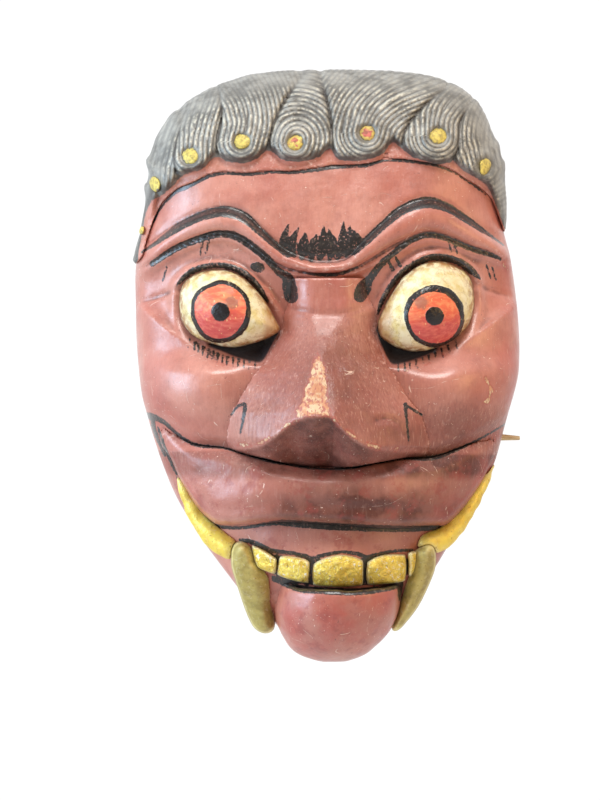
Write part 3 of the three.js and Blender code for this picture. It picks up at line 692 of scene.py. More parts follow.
TUSKS = {
    1: [(36.5, -66.5, 4.2), (41.5, -64.4, 4.6), (47.3, -59, 4), (52.4, -51.6, 3.3), (56.8, -44.4, 2.5),
        (61, -38, 0.7)],
    -1: [(-36.5, -68, 4.2), (-41, -64.6, 4.6), (-46, -59, 3.9), (-50.2, -52.6, 3.1), (-53, -47, 2.2),
         (-55.2, -42.6, 0.7)],
}
FANGS = {
    1: [(31, -70), (33.4, -67.6), (37, -66.6), (39.4, -68.2), (39.7, -74.6), (37.4, -81.4), (33.4, -89.6),
        (28.6, -96), (25.6, -98.8), (23.6, -98.4), (23.8, -94.8), (26.2, -88.6), (28.4, -80.8), (30.2, -76)],
    -1: [(-35.8, -69.2), (-34.4, -66.2), (-31.6, -65.4), (-28.4, -67.4), (-25.8, -72.2), (-22.2, -76),
         (-20.8, -79.2), (-20.5, -85), (-20, -91), (-19.6, -96.6), (-21, -99.3), (-24.4, -99.6),
         (-27.8, -97.2), (-30.8, -90.6), (-33.4, -82.6), (-35.7, -75)],
}


def horn_field(grid, rows, lift):
    """Field of a tapering horn that lies on the face along rows of (x, z, radius)."""
    line = smooth(rows, 4)
    depth = face_depth(line[:, 0], line[:, 1]) + lift
    best = np.full(grid.shape, 9.0, np.float32)
    for k in range(len(line) - 1):
        a = np.array([line[k, 0], depth[k], line[k, 1]])
        ab = np.array([line[k + 1, 0], depth[k + 1], line[k + 1, 1]]) - a
        px, pd, pz = grid.x - a[0], grid.d - a[1], grid.z - a[2]
        t = np.clip((px * ab[0] + pd * ab[1] + pz * ab[2]) / (ab @ ab), 0, 1)
        away = np.sqrt((px - t * ab[0]) ** 2 + (pd - t * ab[1]) ** 2 + (pz - t * ab[2]) ** 2)
        best = np.minimum(best, away - line[k, 2] - t * (line[k + 1, 2] - line[k, 2]))
    return best


def slab_field(grid, outline, base, height, rounding, back, back_round=1.0):
    """Field of a low carving with the given outline, whose front edge is rounded over `rounding`."""
    inside = -polygon(smooth(outline, 3, closed=True), grid.x2, grid.z2)
    rise = np.sqrt(1 - (1 - np.clip(inside / rounding, 0, 1)) ** 2)
    field = even(grid.d - grid.flat(base + height * rise), grid.step)
    field = blend_max(field, -grid.flat(inside), 0.7)
    return blend_max(field, grid.flat(base - back) - grid.d, back_round)


TUSK_BOX = {1: ((28, 30, -73), (67, 78, -33)), -1: ((-61, 30, -75), (-28, 78, -37))}
FANG_BOX = {1: ((20, 34, -104), (43, 84, -62)), -1: ((-39, 34, -104), (-16, 84, -62))}


def tusk_field(grid, side):
    return horn_field(grid, TUSKS[side], 0.6)


def fang_field(grid, side):
    x, z = grid.x2, grid.z2
    middle = np.interp(z, [-99, -80, -66], [24, 33.5, 36.5] if side > 0 else [-24.6, -27.6, -32])
    base = np.maximum(face_depth(middle, np.clip(z, -99, -66)), np.interp(z, [-100, -66], [47, 58]))
    ridge = 1.2 * bell(x - middle, 0.6, 2.8)
    knock = 0.45 * noise(x, z, 5, 55 + side) + 0.25 * noise(x, z, 1.9, 57 + side)
    back = np.interp(z, [-100, -90, -66], [3, 6, 9])
    return slab_field(grid, FANGS[side], base + knock + ridge, 6.0, 4.0, back, 3.0)


def upper_lip():
    grid = Grid((-66, 26, -68), (66, 84, -14), 0.7)
    x, z = grid.x2, grid.z2
    above_lip = z - line_at(LIP, x)
    below_smile = line_at(SMILE, x) - z
    along = np.maximum(0, 1 - (np.abs(x) / 62) ** 2.2)
    across = 1 - ((z + 50) / 30) ** 2
    depth = dome_depth(x, z) + 2.2 + 13 * along * across
    depth -= 2.8 * (1 - ramp(0, 6, below_smile))
    depth -= 3.4 * (1 - ramp(-1, 5.5, above_lip)) ** 1.5
    depth += 0.9 * bell(above_lip, 2.6, 1.8) - 0.7 * bell(above_lip, 7.5, 2.6) * ramp(40, 20, np.abs(x))
    depth += 0.9 * hill(np.abs(x), z, 26, -52, 16, 7)
    depth += 0.25 * noise(x, z, 7, 31) + 0.1 * noise(x, z, 2.6, 32)
    field = even(grid.d - grid.flat(depth), grid.step)
    field = blend_max(field, grid.flat(-above_lip + 0.2), 1.6)
    field = blend_max(field, grid.flat(-below_smile + 0.2), 1.2)
    field = on_face(blend_max(field, np.abs(grid.x) - 62.5, 1.5), grid)
    carve("upper_lip", grid, clear_of(field, grid, tusk_field, 0.2), paint_layers)


def chin():
    grid = Grid((-24, 20, -113), (30, 82, -78), 0.6)
    across = np.abs(grid.x - 1.0 - 0.12 * (grid.z + 110)) / 23.2
    ahead, up = np.abs(grid.d - 53) / 25.5, np.abs(grid.z + 86) / 24.2
    power = 2.12
    ball = (across**power + ahead**power + up**power) ** (1 / power)
    field = even(23 * (ball - 1), grid.step)
    top = np.interp(grid.x2, [-22, -19, -11, -3.5, 9, 19, 27], [-78.4, -79.2, -82.2, -83, -83.5, -82.6, -81])
    field = blend_max(field, grid.flat(grid.z2 - top), 2.6)
    field = blend_max(field, -20.1 - grid.x, 1.2)
    field -= grid.flat(0.3 * noise(grid.x2, grid.z2, 7, 41) + 0.12 * noise(grid.x2, grid.z2, 2.8, 42))
    carve("chin", grid, clear_of(on_face(field, grid), grid, fang_field, 0.3), paint_layers)


def tusks_and_fangs():
    for side, name in SIDES:
        grid = Grid(*TUSK_BOX[side], 0.5)
        field = tusk_field(grid, side) - grid.flat(0.3 * noise(grid.x2, grid.z2, 3, 51 + side))
        carve(f"tusk_{name}", grid, np.maximum(on_face(field, grid), 0.15 - fang_field(grid, side)))
        grid = Grid(*FANG_BOX[side], 0.5)
        carve(f"fang_{name}", grid, on_face(fang_field(grid, side), grid))


TEETH = [
    [(-28.4, -67.2), (-26.8, -67), (-23.6, -68.6), (-19.6, -71.2), (-18.8, -72.4), (-19.1, -76.6),
     (-20, -77.6), (-23, -76.6), (-26.4, -75.2), (-27.6, -72)],
    [(-18.2, -71.4), (-17, -70.6), (-13.2, -70.7), (-9.4, -71.4), (-7, -72.6), (-6.7, -74), (-7, -79.6),
     (-7.6, -81), (-13.2, -79.9), (-18.2, -78.2), (-19, -77.2), (-18.6, -74)],
    [(-5.8, -74.4), (-5, -73), (-1.1, -71.2), (3.4, -70.2), (7.9, -70.4), (11.8, -71.6), (13, -73),
     (13.1, -77), (12.9, -81.2), (11.6, -82), (2.9, -82.4), (-5, -81.8), (-6, -80.6), (-6.1, -77)],
    [(14, -74), (14.6, -72.6), (18, -70.8), (22, -70), (27.6, -70), (28.7, -71), (29, -75), (28.6, -79.4),
     (27.4, -80.6), (21, -81.4), (15, -81.6), (14, -80.6), (13.8, -77)],
    [(29.2, -70.2), (30, -69.2), (33, -69.2), (33.4, -73), (32, -77.6), (29.6, -78.6), (29.5, -74)],
]


def teeth():
    for i, outline in enumerate(TEETH):
        (x0, z0), (x1, z1) = np.min(outline, 0), np.max(outline, 0)
        grid = Grid((x0 - 2, 50, z0 - 2), (x1 + 2, 84, z1 + 2), 0.36)
        x, z = grid.x2, grid.z2
        bow = 0.03 * (x - (x0 + x1) / 2) ** 2 / max((x1 - x0) / 12, 1)
        bow += 0.03 * (z - (z0 + z1) / 2) ** 2
        crinkle = 0.3 * noise(x, z, 1.9, 60 + i) + 0.16 * noise(x, z, 0.9, 66 + i)
        base = face_depth(x, z) + 0.8 - bow + crinkle
        field = on_face(slab_field(grid, outline, base, 4.0, 1.3, 8), grid)
        carve(f"tooth_{i + 1}", grid, clear_of(field, grid, fang_field, 0.15))


def eyes():
    for side, name in SIDES:
        cx, cz = IRIS[side]
        grid = Grid((side * 36 - 21, 36, 2), (side * 36 + 21, 80, 42), 0.45)
        x, z = grid.x2, grid.z2
        iris = np.hypot(x - cx, (z - cz) * 0.97)
        step = 0.3 * ramp(11.6, 10.9, iris) - 0.25 * bell(iris, 11.2, 0.7) + 0.3 * ramp(4, 3, iris)
        brushed = 0.12 * noise(x, z, 3, 71 + side) + 0.07 * noise(x + z, (z - x) * 0.3, 1.2, 75 + side)
        field = eye_field(grid, side) - grid.flat(step + brushed)
        slot = polygon(smooth(SLOTS[side], 4, closed=True), x, z)
        field = np.where(grid.flat(slot) < -0.4, field, np.maximum(field, 0.1 - front_of(grid)))

        def layers(x, d, z, cx=cx, cz=cz, side=side):
            u, v = x - cx, z - cz
            wave = 1 + 0.035 * noise(x, z, 5, 73 + side)
            thin = ramp(-2, 9, v) if side > 0 else ramp(3, 9, u) * ramp(3, -8, v)
            return {
                "iris": np.hypot(u, v * 0.97) * wave,
                "corner": EYES[side].share(x, z),
                "inner": side * x,
                "ring": 9.7 - 0.9 * thin,
                "rise": v,
                "worn": np.hypot(u + 5, v - 5) if side > 0 else np.hypot(u - 4, v - 3.4),
            }

        carve(f"eye_{name}", grid, field, layers)


# --- Hair --------------------------------------------------------------------------------------

CURLS = [
    (-69.2, 49.5), (-64.2, 66.4), (-51, 76.5), (-31.8, 81.8), (-12.2, 81.4), (14.4, 85), (40.6, 84),
    (58, 72.8),
]
SPINES = [
    [(-69.2, 49.5), (-68, 58), (-66.6, 68), (-64, 78)],
    [(-64.2, 66.4), (-63, 76), (-60.5, 86), (-56, 96)],
    [(-51, 76.5), (-50.6, 84), (-49, 92), (-45, 104)],
    [(-31.8, 81.8), (-30, 89), (-31.4, 97), (-36, 104), (-42, 112)],
    [(-12.2, 81.4), (-11.6, 83)],
    [(14.4, 85), (17, 91.6), (23.5, 97.6), (33, 102), (48, 108)],
    [(40.6, 84), (41.2, 90.6), (44.6, 97), (51, 102.6), (60, 108)],
    [(58, 72.8), (56.6, 80), (56.4, 87), (58.6, 94), (64, 101)],
]
STRAND = 1.75


def locks(x, z):
    """For each point: how many strands it lies from its lock's middle line, how near the next lock is,
    and the distance to the nearest curl's centre."""
    near, second = np.full(np.shape(x), 1e3), np.full(np.shape(x), 1e3)
    strand = np.zeros(np.shape(x))
    curl = np.full(np.shape(x), 1e3)
    for k, ((cx, cz), spine) in enumerate(zip(CURLS, SPINES)):
        line = smooth(spine, 4)
        reach = np.minimum.reduce([nearest(start, end, x, z)[1] for start, end in zip(line, line[1:])])
        away = np.hypot(x - cx, z - cz)
        curl = np.minimum(curl, away)
        turn = np.arctan2(z - cz, x - cx) / (2 * math.pi) * ramp(11, 8, away)
        closer = reach < near
        second = np.where(closer, near, np.minimum(second, reach))
        strand = np.where(closer, reach / STRAND + turn + 0.37 * k, strand)
        near = np.where(closer, reach, near)
    return strand, second - near, curl


def below(line, x, z):
    """Distance below a line of the hair, which is steep at the temples."""
    return (line_at(line, x) - z) * np.interp(np.abs(x), TEMPLES, [1, 0.42])


def hair_body(z):
    """How full the hair is, from the ends at the temples to the top."""
    return np.interp(z, [36, 46, 56, 66], [-0.3, 0.1, 0.6, 1.0])


def hair_cap():
    grid = Grid((-78, -3, 34), (78, 74, 113), 0.55)
    x, z = grid.x2, grid.z2
    share = FACE.share(x, z)
    draw_in = np.minimum(1, 1 / share)  # beyond the outline the relief is that of the outline
    x, z = x * draw_in, z * draw_in
    above, edge = -below(HAIRLINE, x, z), below(HAIR_EDGE, x, z)
    strand, gap, curl = locks(x, z)
    crest = np.abs(2 * (strand - np.floor(strand)) - 1)
    flank = ramp(0.985, 0.93, share)
    full = ramp(44, 60, z)
    body = 1.5 * ramp(-0.2, 1.2, above) * (0.65 + 0.35 * full)
    body += 3.0 * np.maximum(ramp(1.2, -3.0, edge), ramp(0.965, 1.0, share)) * hair_body(z)
    combed = ramp(0, -2, edge) * full
    ridges = 0.85 * (1 - (1 - crest) ** 2.4) * combed * ramp(2.6, 4.2, curl) * (0.25 + 0.75 * flank)
    valley = -1.6 * bell(gap, 0, 1.5) * combed * ramp(4, 9, curl) * (0.3 + 0.7 * flank)
    snail = bell(curl, 4.6, 2.2) * ramp(1.5, -1.5, edge) * full - 0.5 * ramp(3.4, 1.6, curl) * combed
    lift = (body + ridges + valley + snail) - 0.6 + 0.2 * noise(x, z, 5, 77)
    over_skin = np.maximum(face_relief(x, z), 0) + 1.15 * ramp(0.05, 0.6, above)
    lift = np.where(above > 0, np.maximum(lift, over_skin * ramp(62, 52, z)), lift)
    field = on_face(dome(grid) - grid.flat(lift), grid)
    field = blend_max(field, grid.flat(0.15 - above), 0.6)
    field = blend_max(field, -grid.d, 0.8)

    def layers(x, d, z):
        strand, gap, curl = locks(x, z)
        return {
            "strand": strand, "gap": gap, "curl": curl, "edge": below(HAIR_EDGE, x, z), "side": d,
            "ink": face_ink(x, z) + 4 * ramp(*WALL_PAINT, d), "flank": FACE.share(x, z),
        }

    carve("hair_cap", grid, field, layers)


BOSSES = [  # half width, half height and tilt of the gold spots, and how much gold is left
    (1, 1.6, 0, 1), (2, 3, 25, 1), (3.2, 3.2, 30, 1), (3.4, 2.9, 0, 1), (3.3, 2.9, 20, 0.5),
    (3.1, 3.0, 0, 0.1), (3.4, 3.1, 0, 0.75), (2.1, 3.3, -20, 0.65),
]


def curl_bosses():
    for k, ((cx, cz), (half_x, half_z, tilt, gold)) in enumerate(zip(CURLS, BOSSES)):
        grid = Grid((cx - 5, 8, cz - 5), (cx + 5, 76, cz + 5), 0.35)
        c, s = math.cos(math.radians(tilt)), math.sin(math.radians(tilt))
        lift = max(1.1 + 3.0 * hair_body(cz), 0.9)
        seat = dome(grid) - lift
        u, v = grid.x2 - cx, grid.z2 - cz
        away = np.hypot((u * c + v * s) / half_x, (v * c - u * s) / half_z)
        away *= 1 + 0.2 * noise(u, v, 3.2, 90 + k)
        along = (grid.d - dome_depth(cx, cz, -lift)) / (3.5 if k == 0 else 9)
        knob = np.sqrt(grid.flat(away) ** 2.4 + np.abs(seat / 0.95) ** 2 + along**4) - 1
        field = even(knob * 1.5, grid.step) - grid.flat(0.1 * noise(u, v, 1.4, 80 + k))

        def layers(x, d, z, cx=cx, cz=cz, half=max(half_x, half_z), gold=gold):
            return {"spot": np.hypot(x - cx, z - cz) / half, "gold": gold + 0 * x}

        carve(f"curl_boss_{k + 1}", grid, field, layers)


def pegs():
    root, ends = 49, {1: 71.5, -1: 63.4}
    for side, name in SIDES:
        low, high = (47, 75) if side > 0 else (-67, -47)
        grid = Grid((low, 17, -32), (high, 27, -22), 0.25)
        out = side * grid.x
        t = np.clip((out - root) / (ends[side] - root), 0, 1)
        away = np.hypot(grid.d - PEG_DEPTH - 0.5 * t**2, grid.z - PEG_LEVEL + 0.6 * t**2)
        radius = 1.9 - 1.15 * t**1.4
        carve(f"cord_peg_{name}", grid, np.maximum(away - radius, np.maximum(root - out, out - ends[side])))


for make in (face_shell, nose, upper_lip, chin, tusks_and_fangs, teeth, eyes, hair_cap, curl_bosses, pegs):
    make()


# --- Materials ---------------------------------------------------------------------------------

def rgb(r, g, b):
    """A display colour of 0 to 255, none of it near black, as the linear colour the shaders take."""
    return (*(((c / 255 + 0.055) / 1.055) ** 2.4 for c in (r, g, b)), 1.0)


class Value:
    """A number or colour that varies over the surface."""

    def __init__(self, tree, socket):
        self.tree, self.socket = tree, socket

    def math(self, operation, other=0.0):
        return self.tree.result("ShaderNodeMath", {0: self, 1: other}, operation=operation)

    def __add__(self, other):
        return self.math("ADD", other)

    def __sub__(self, other):
        return self.math("SUBTRACT", other)

    def __mul__(self, other):
        return self.math("MULTIPLY", other)

    def __abs__(self):
        return self.math("ABSOLUTE")

    def most(self, other):
        return self.math("MAXIMUM", other)

    def least(self, other):
        return self.math("MINIMUM", other)

    def ramp(self, low, high, bottom=0.0, top=1.0):
        """Smooth step from bottom at low to top at high."""
        inputs = {"Value": self, "From Min": low, "From Max": high, "To Min": bottom, "To Max": top}
        return self.tree.result("ShaderNodeMapRange", inputs, interpolation_type="SMOOTHSTEP")


class Tree:
    """The node tree of a new material or world, with short names for the nodes that it is made of."""

    def __init__(self, name, kind=bpy.data.materials, place="Object"):
        self.owner = kind.new(name)
        self.owner.use_nodes = True
        self.nodes = self.owner.node_tree.nodes
        self.links = self.owner.node_tree.links
        self.nodes.clear()
        self.place = self.result("ShaderNodeTexCoord", {}, place)

    def put(self, kind, **settings):
        node = self.nodes.new(kind)
        for key, value in settings.items():
            setattr(node, key, value)
        return node

    def feed(self, node, inputs):
        """Sets or links a node's inputs, which are given by name or number."""
        for key, value in inputs.items():
            if isinstance(value, Value):
                self.links.new(value.socket, node.inputs[key])
            else:
                node.inputs[key].default_value = value
        return node

    def result(self, kind, inputs, output=0, **settings):
        return Value(self, self.feed(self.put(kind, **settings), inputs).outputs[output])

    def layer(self, name):
        return self.result("ShaderNodeAttribute", {}, "Fac", attribute_name=name)

    def axis(self, letter):
        """The point's place along an axis of the mask, in metres."""
        return self.result("ShaderNodeSeparateXYZ", {0: self.place}, letter)

    def noise(self, size_mm, detail=3.0, rough=0.55, stretch=(1, 1, 1), turn=0.0, distortion=0.0):
        place = self.place
        if stretch != (1, 1, 1) or turn:
            scale = tuple(1 / s for s in stretch)
            inputs = {"Vector": place, "Scale": scale, "Rotation": (0, math.radians(turn), 0)}
            place = self.result("ShaderNodeMapping", inputs)
        inputs = {"Vector": place, "Scale": 1 / (size_mm * MM), "Detail": detail, "Roughness": rough}
        return self.result("ShaderNodeTexNoise", {**inputs, "Distortion": distortion}, "Fac")

    def wobble(self, size_mm, reach, detail=3.0):
        """Noise around zero, for ragged edges."""
        return (self.noise(size_mm, detail, 0.65) - 0.5) * reach

    def mix(self, share, a, b):
        """Colour a with a share of colour b over it."""
        return self.result("ShaderNodeMix", {0: share, 6: a, 7: b}, 2, data_type="RGBA")

    def blend(self, share, a, b):
        """The same for two numbers."""
        return self.result("ShaderNodeMix", {0: share, 2: a, 3: b}, data_type="FLOAT")

    def finish(self, colour, roughness, height, distance_mm, metallic=0.0, coat=0.0):
        inputs = {
            "Base Color": colour, "Roughness": roughness, "Metallic": metallic,
            "Normal": self.result("ShaderNodeBump", {"Height": height, "Distance": distance_mm * MM}),
            "Coat Weight": coat, "Coat Roughness": 0.3,
        }
        shader = self.result("ShaderNodeBsdfPrincipled", inputs)
        self.feed(self.put("ShaderNodeOutputMaterial"), {0: shader})
        return self.owner


RED_LIGHT, RED, RED_DARK = rgb(208, 142, 125), rgb(190, 116, 100), rgb(132, 76, 66)
# The last red here is both brown paint and painted shade, under the nose and on the lower lip and cheeks.
RED_BRIGHT, PINK, RED_BROWN_AND_SHADE = rgb(180, 78, 66), rgb(222, 176, 162), rgb(94, 52, 44)
WOOD_PALE, WOOD_WARM = rgb(222, 194, 160), rgb(206, 148, 114)
WOOD, WOOD_DARK = rgb(190, 146, 104), rgb(122, 86, 58)
BLACK, BLACK_WORN = rgb(38, 34, 34), rgb(128, 116, 104)
TAN = rgb(212, 206, 188)


def red_paint(t):
    """Colour of the brushed red paint, its roughness and its brush marks."""
    broad = t.noise(34, 3, 0.6)
    middling = t.noise(9, 4, 0.6)
    right, on_lip = t.axis("X").ramp(-12 * MM, 6 * MM), t.axis("Z").ramp(-30 * MM, -42 * MM)
    left_brush, right_brush = (t.noise(0.8, 3, 0.6, stretch=(1, 1, 8), turn=turn) for turn in (24, -14))
    brush = t.blend(right, left_brush, right_brush)
    colour = t.mix(broad.ramp(0.35, 0.66), RED, RED_LIGHT)
    colour = t.mix(middling.ramp(0.45, 0.72) * 0.3, colour, RED_DARK)
    # Brown paint and painted shade: browner on the nose and lip, and painted shade under the nose, on the
    # lower lip and gum, beside the nose's wings and on the lower cheeks.
    colour = t.mix(t.layer("brown_and_shade") * middling.ramp(0.3, 0.68, 1.0, 0.6), colour, RED_BROWN_AND_SHADE)
    colour = t.mix(t.layer("blush") * t.noise(12, 3).ramp(0.38, 0.66, 0.1, 0.75), colour, RED_BRIGHT)
    brown_and_shade = t.layer("brown_and_shade")
    strong = brown_and_shade.ramp(0.1, 0.6, 0.12, 0.6) * on_lip.ramp(0, 1, 1.0, 0.25)
    pale_lines = strong * brown_and_shade.ramp(0.6, 1.1, 0.6, 0.15)
    colour = t.mix(brush.ramp(0.45, 0.7) * strong, colour, RED_DARK)
    colour = t.mix(brush.ramp(0.42, 0.3) * pale_lines, colour, PINK)
    patch = t.noise(7, 4, 0.7, turn=70).ramp(0.5, 0.64) * on_lip.ramp(0, 1, 0.15, 0.5)
    colour = t.mix(patch, colour, rgb(148, 66, 60))
    streak = t.noise(1.4, 2, 0.5, stretch=(1, 1, 5), turn=-12)
    colour = t.mix(streak.ramp(0.58, 0.75, 0.0, 0.1), colour, PINK)
    convex = t.layer("convex")
    # Darker red-brown in the hollows, in patches.
    darker_in_hollows = convex.ramp(-0.05, -0.45) * t.noise(3, 3).ramp(0.3, 0.6, 0.4, 0.9)
    colour = t.mix(darker_in_hollows, colour, rgb(84, 46, 42))
    rubbed = convex.ramp(0.12, 0.6) * t.noise(1.8, 4, 0.7).ramp(0.5, 0.66)
    colour = t.mix(rubbed * brown_and_shade.ramp(0.3, 1.0, 1.0, 0.25) * 0.8, colour, PINK)
    speck = t.noise(0.75, 2, 0.5).ramp(0.705, 0.735) * t.noise(16, 2).ramp(0.4, 0.6)
    line = abs(t.noise(16, 1.5, 0.4, stretch=(1, 1, 3), turn=35) - 0.5)
    other = abs(t.noise(13, 1, 0.4, stretch=(3, 1, 1), turn=20) - 0.52)
    scratch = line.least(other).ramp(0.0022, 0.0008) * t.noise(7, 3, 0.7).ramp(0.55, 0.62)
    mark = speck.most(scratch * 0.7)
    colour = t.mix(mark, colour, rgb(244, 214, 196))
    dot = t.noise(0.9, 2, 0.5, turn=50).ramp(0.69, 0.72) * t.noise(11, 2, turn=20).ramp(0.5, 0.62)
    colour = t.mix(dot * 0.7, colour, rgb(96, 50, 44))
    height = brush * strong * 1.8 + t.noise(0.6, 2) * 0.2
    height = height + middling * 0.5 + t.noise(2.6, 3, 0.6) * 0.8 - mark * 0.35
    rough = t.noise(5, 3).ramp(0.3, 0.7, 0.32, 0.5)
    return colour, rough, height


def add_ink(t, colour, rough, height):
    """Black brush lines over a finish, with ragged, worn edges."""
    edge = t.layer("ink") + t.wobble(1.1, 1.1)
    ink = edge.ramp(0.12, -0.12) * t.noise(0.8, 3, 0.7).ramp(0.66, 0.6, 0.25, 1.0)
    worn = t.noise(1.6, 3, 0.7).ramp(0.52, 0.62) * t.layer("convex").ramp(0.05, 0.5, 0.15, 0.9)
    black = t.mix(worn, BLACK, BLACK_WORN)
    return t.mix(ink, colour, black), t.blend(ink, rough, 0.28), height + ink * 0.35


def face_finish():
    t = Tree("red_paint_on_wood")
    colour, rough, height = add_ink(t, *red_paint(t))
    ragged = t.layer("bare") + t.wobble(1.5, 3.0, 4)
    bare = ragged.ramp(0.1, -0.15)
    fringe = ragged.ramp(0.9, 0.1)
    colour = t.mix(fringe * 0.45, colour, rgb(176, 76, 62))
    pale = t.mix(t.noise(3.4, 3, 0.6).ramp(0.42, 0.6), WOOD_PALE, WOOD_WARM)
    stain = t.noise(1.0, 3, 0.6, stretch=(1, 1, 3)).ramp(0.5, 0.62, 0.0, 0.85)
    pale = t.mix(stain, pale, rgb(176, 104, 98))
    colour = t.mix(bare, colour, pale)
    grain = t.noise(1.2, 4, 0.65, stretch=(1, 1, 9), distortion=0.4)
    timber = t.mix(grain.ramp(0.3, 0.7), WOOD, WOOD_DARK)
    timber = t.mix(t.noise(22, 3).ramp(0.45, 0.7) * 0.5, timber, rgb(104, 76, 54))
    timber = t.mix(t.layer("convex").ramp(-0.05, -0.3, 0.0, 0.6), timber, rgb(72, 50, 36))
    raw = (t.layer("raw") + t.wobble(2.5, 0.5)).ramp(0.4, 0.6)
    colour = t.mix(raw, colour, timber)
    # Painted shade: near black on the walls inside the eye slots.
    colour = t.mix(t.layer("slot"), colour, rgb(40, 24, 24))
    unpainted = bare.most(raw).most(t.layer("slot"))
    rough = t.blend(unpainted, rough, 0.78)
    height = height - bare * 0.6
    height = t.blend(raw, height, grain * 1.2)
    dull = unpainted.most(t.layer("brown_and_shade"))
    return t.finish(colour, rough, height, 0.28, coat=dull.ramp(0, 1, 0.6, 0.0))


def hair_finish():
    t = Tree("black_painted_hair")
    phase = (t.layer("strand") + t.wobble(2.4, 0.22, 2)).math("FRACT")
    crest = abs(phase * 2.0 - 1.0)
    combed = t.layer("curl").ramp(3.0, 4.6, 0.2, 1.0) * t.layer("edge").ramp(-0.4, -2.2)
    combed = combed * t.layer("flank").ramp(0.99, 0.95, 0.3, 1.0)
    colour = t.mix(t.noise(7, 3).ramp(0.35, 0.65), rgb(110, 108, 103), rgb(148, 146, 140))
    pale = crest.ramp(0.4, 0.85) * t.noise(2.2, 4, 0.7).ramp(0.42, 0.6)
    pale = pale * combed * t.noise(24, 2).ramp(0.35, 0.6, 0.35, 1.0)
    colour = t.mix(pale * 0.9, colour, TAN)
    # Painted shade: darker in the channels between the strands' crests.
    colour = t.mix(crest.ramp(0.34, 0.04) * combed * 0.7, colour, rgb(66, 62, 58))
    # Painted shade: dark in the deep valleys between the locks.
    colour = t.mix(t.layer("gap").ramp(1.5, 0.2) * combed * 0.8, colour, rgb(52, 45, 42))
    rubbed = t.layer("convex").ramp(0.1, 0.5) * t.noise(1.6, 4, 0.7).ramp(0.52, 0.68)
    colour = t.mix(rubbed * 0.5, colour, rgb(214, 200, 176))
    foot = t.layer("edge").ramp(-3.5, -1.0) * t.noise(4, 3).ramp(0.36, 0.56, 0.15, 0.8)
    colour = t.mix(foot, colour, rgb(66, 62, 60))
    red, _, _ = red_paint(t)
    border = t.layer("edge") + t.wobble(1.6, 1.4)
    band = border.ramp(-0.2, 0.2) * t.layer("side").ramp(22, 25)
    red = t.mix(t.noise(4, 3).ramp(0.5, 0.72, 0.0, 0.55), red, rgb(176, 104, 76))
    colour = t.mix(band, colour, red)
    height = t.noise(0.7, 3) * 0.6
    rough = t.noise(3, 3).ramp(0.3, 0.7, 0.36, 0.58)
    colour, rough, height = add_ink(t, colour, rough, height)
    return t.finish(colour, rough, height, 0.3, coat=0.2)


def gold_finish(name, colour, shade, metallic, rough, crinkle, painted_glint=0.2, light=rgb(240, 226, 160)):
    """Gilding with crinkles, darker in its hollows, with painted highlights on its crests and painted glints
    on its crinkles.
    """
    t = Tree(name)
    foil = t.noise(1.3, 4, 0.6, distortion=1.0)
    tone = t.mix(t.noise(3.5, 4, 0.6).ramp(0.35, 0.7), colour, shade)
    tone = t.mix(t.layer("convex").ramp(-0.04, -0.4, 0.0, 0.85), tone, rgb(96, 70, 34))
    # Painted highlight: lighter gold on the crests.
    tone = t.mix(t.layer("convex").ramp(0.08, 0.7, 0.0, 0.6), tone, light)
    tone = t.mix(t.noise(1.4, 4, 0.7).ramp(0.6, 0.68) * 0.6, tone, rgb(134, 100, 50))
    # Painted glints: near-white flecks on the crinkles.
    tone = t.mix(foil.ramp(0.57, 0.67) * painted_glint, tone, rgb(252, 248, 226))
    height = foil * crinkle + t.noise(2.6, 3) * 0.6
    return t.finish(tone, foil.ramp(0.3, 0.7, rough - 0.1, rough + 0.12), height, 0.35, metallic)


def dot_finish():
    """Gold dabs on the curls, some of them worn through to red."""
    t = Tree("gold_dots")
    gilt = t.mix(t.noise(1.4, 4, 0.7).ramp(0.4, 0.66), rgb(220, 200, 104), rgb(170, 150, 82))
    left = t.layer("gold") + t.wobble(2.2, 1.1)
    worn = t.mix(t.noise(1.6, 3).ramp(0.4, 0.6), rgb(196, 104, 92), rgb(150, 82, 66))
    spot = t.layer("spot") + t.wobble(2.0, 1.3)
    gold = left.ramp(0.42, 0.54).most(spot.ramp(0.5, 0.62) * 0.8)
    colour = t.mix(spot.ramp(0.98, 0.84), rgb(118, 112, 102), t.mix(gold, worn, gilt))
    height = t.noise(0.9, 4, 0.65) + t.noise(2.6, 3) * 0.6
    return t.finish(colour, t.noise(1.2, 3).ramp(0.3, 0.7, 0.42, 0.6), height, 0.2, 0.15)


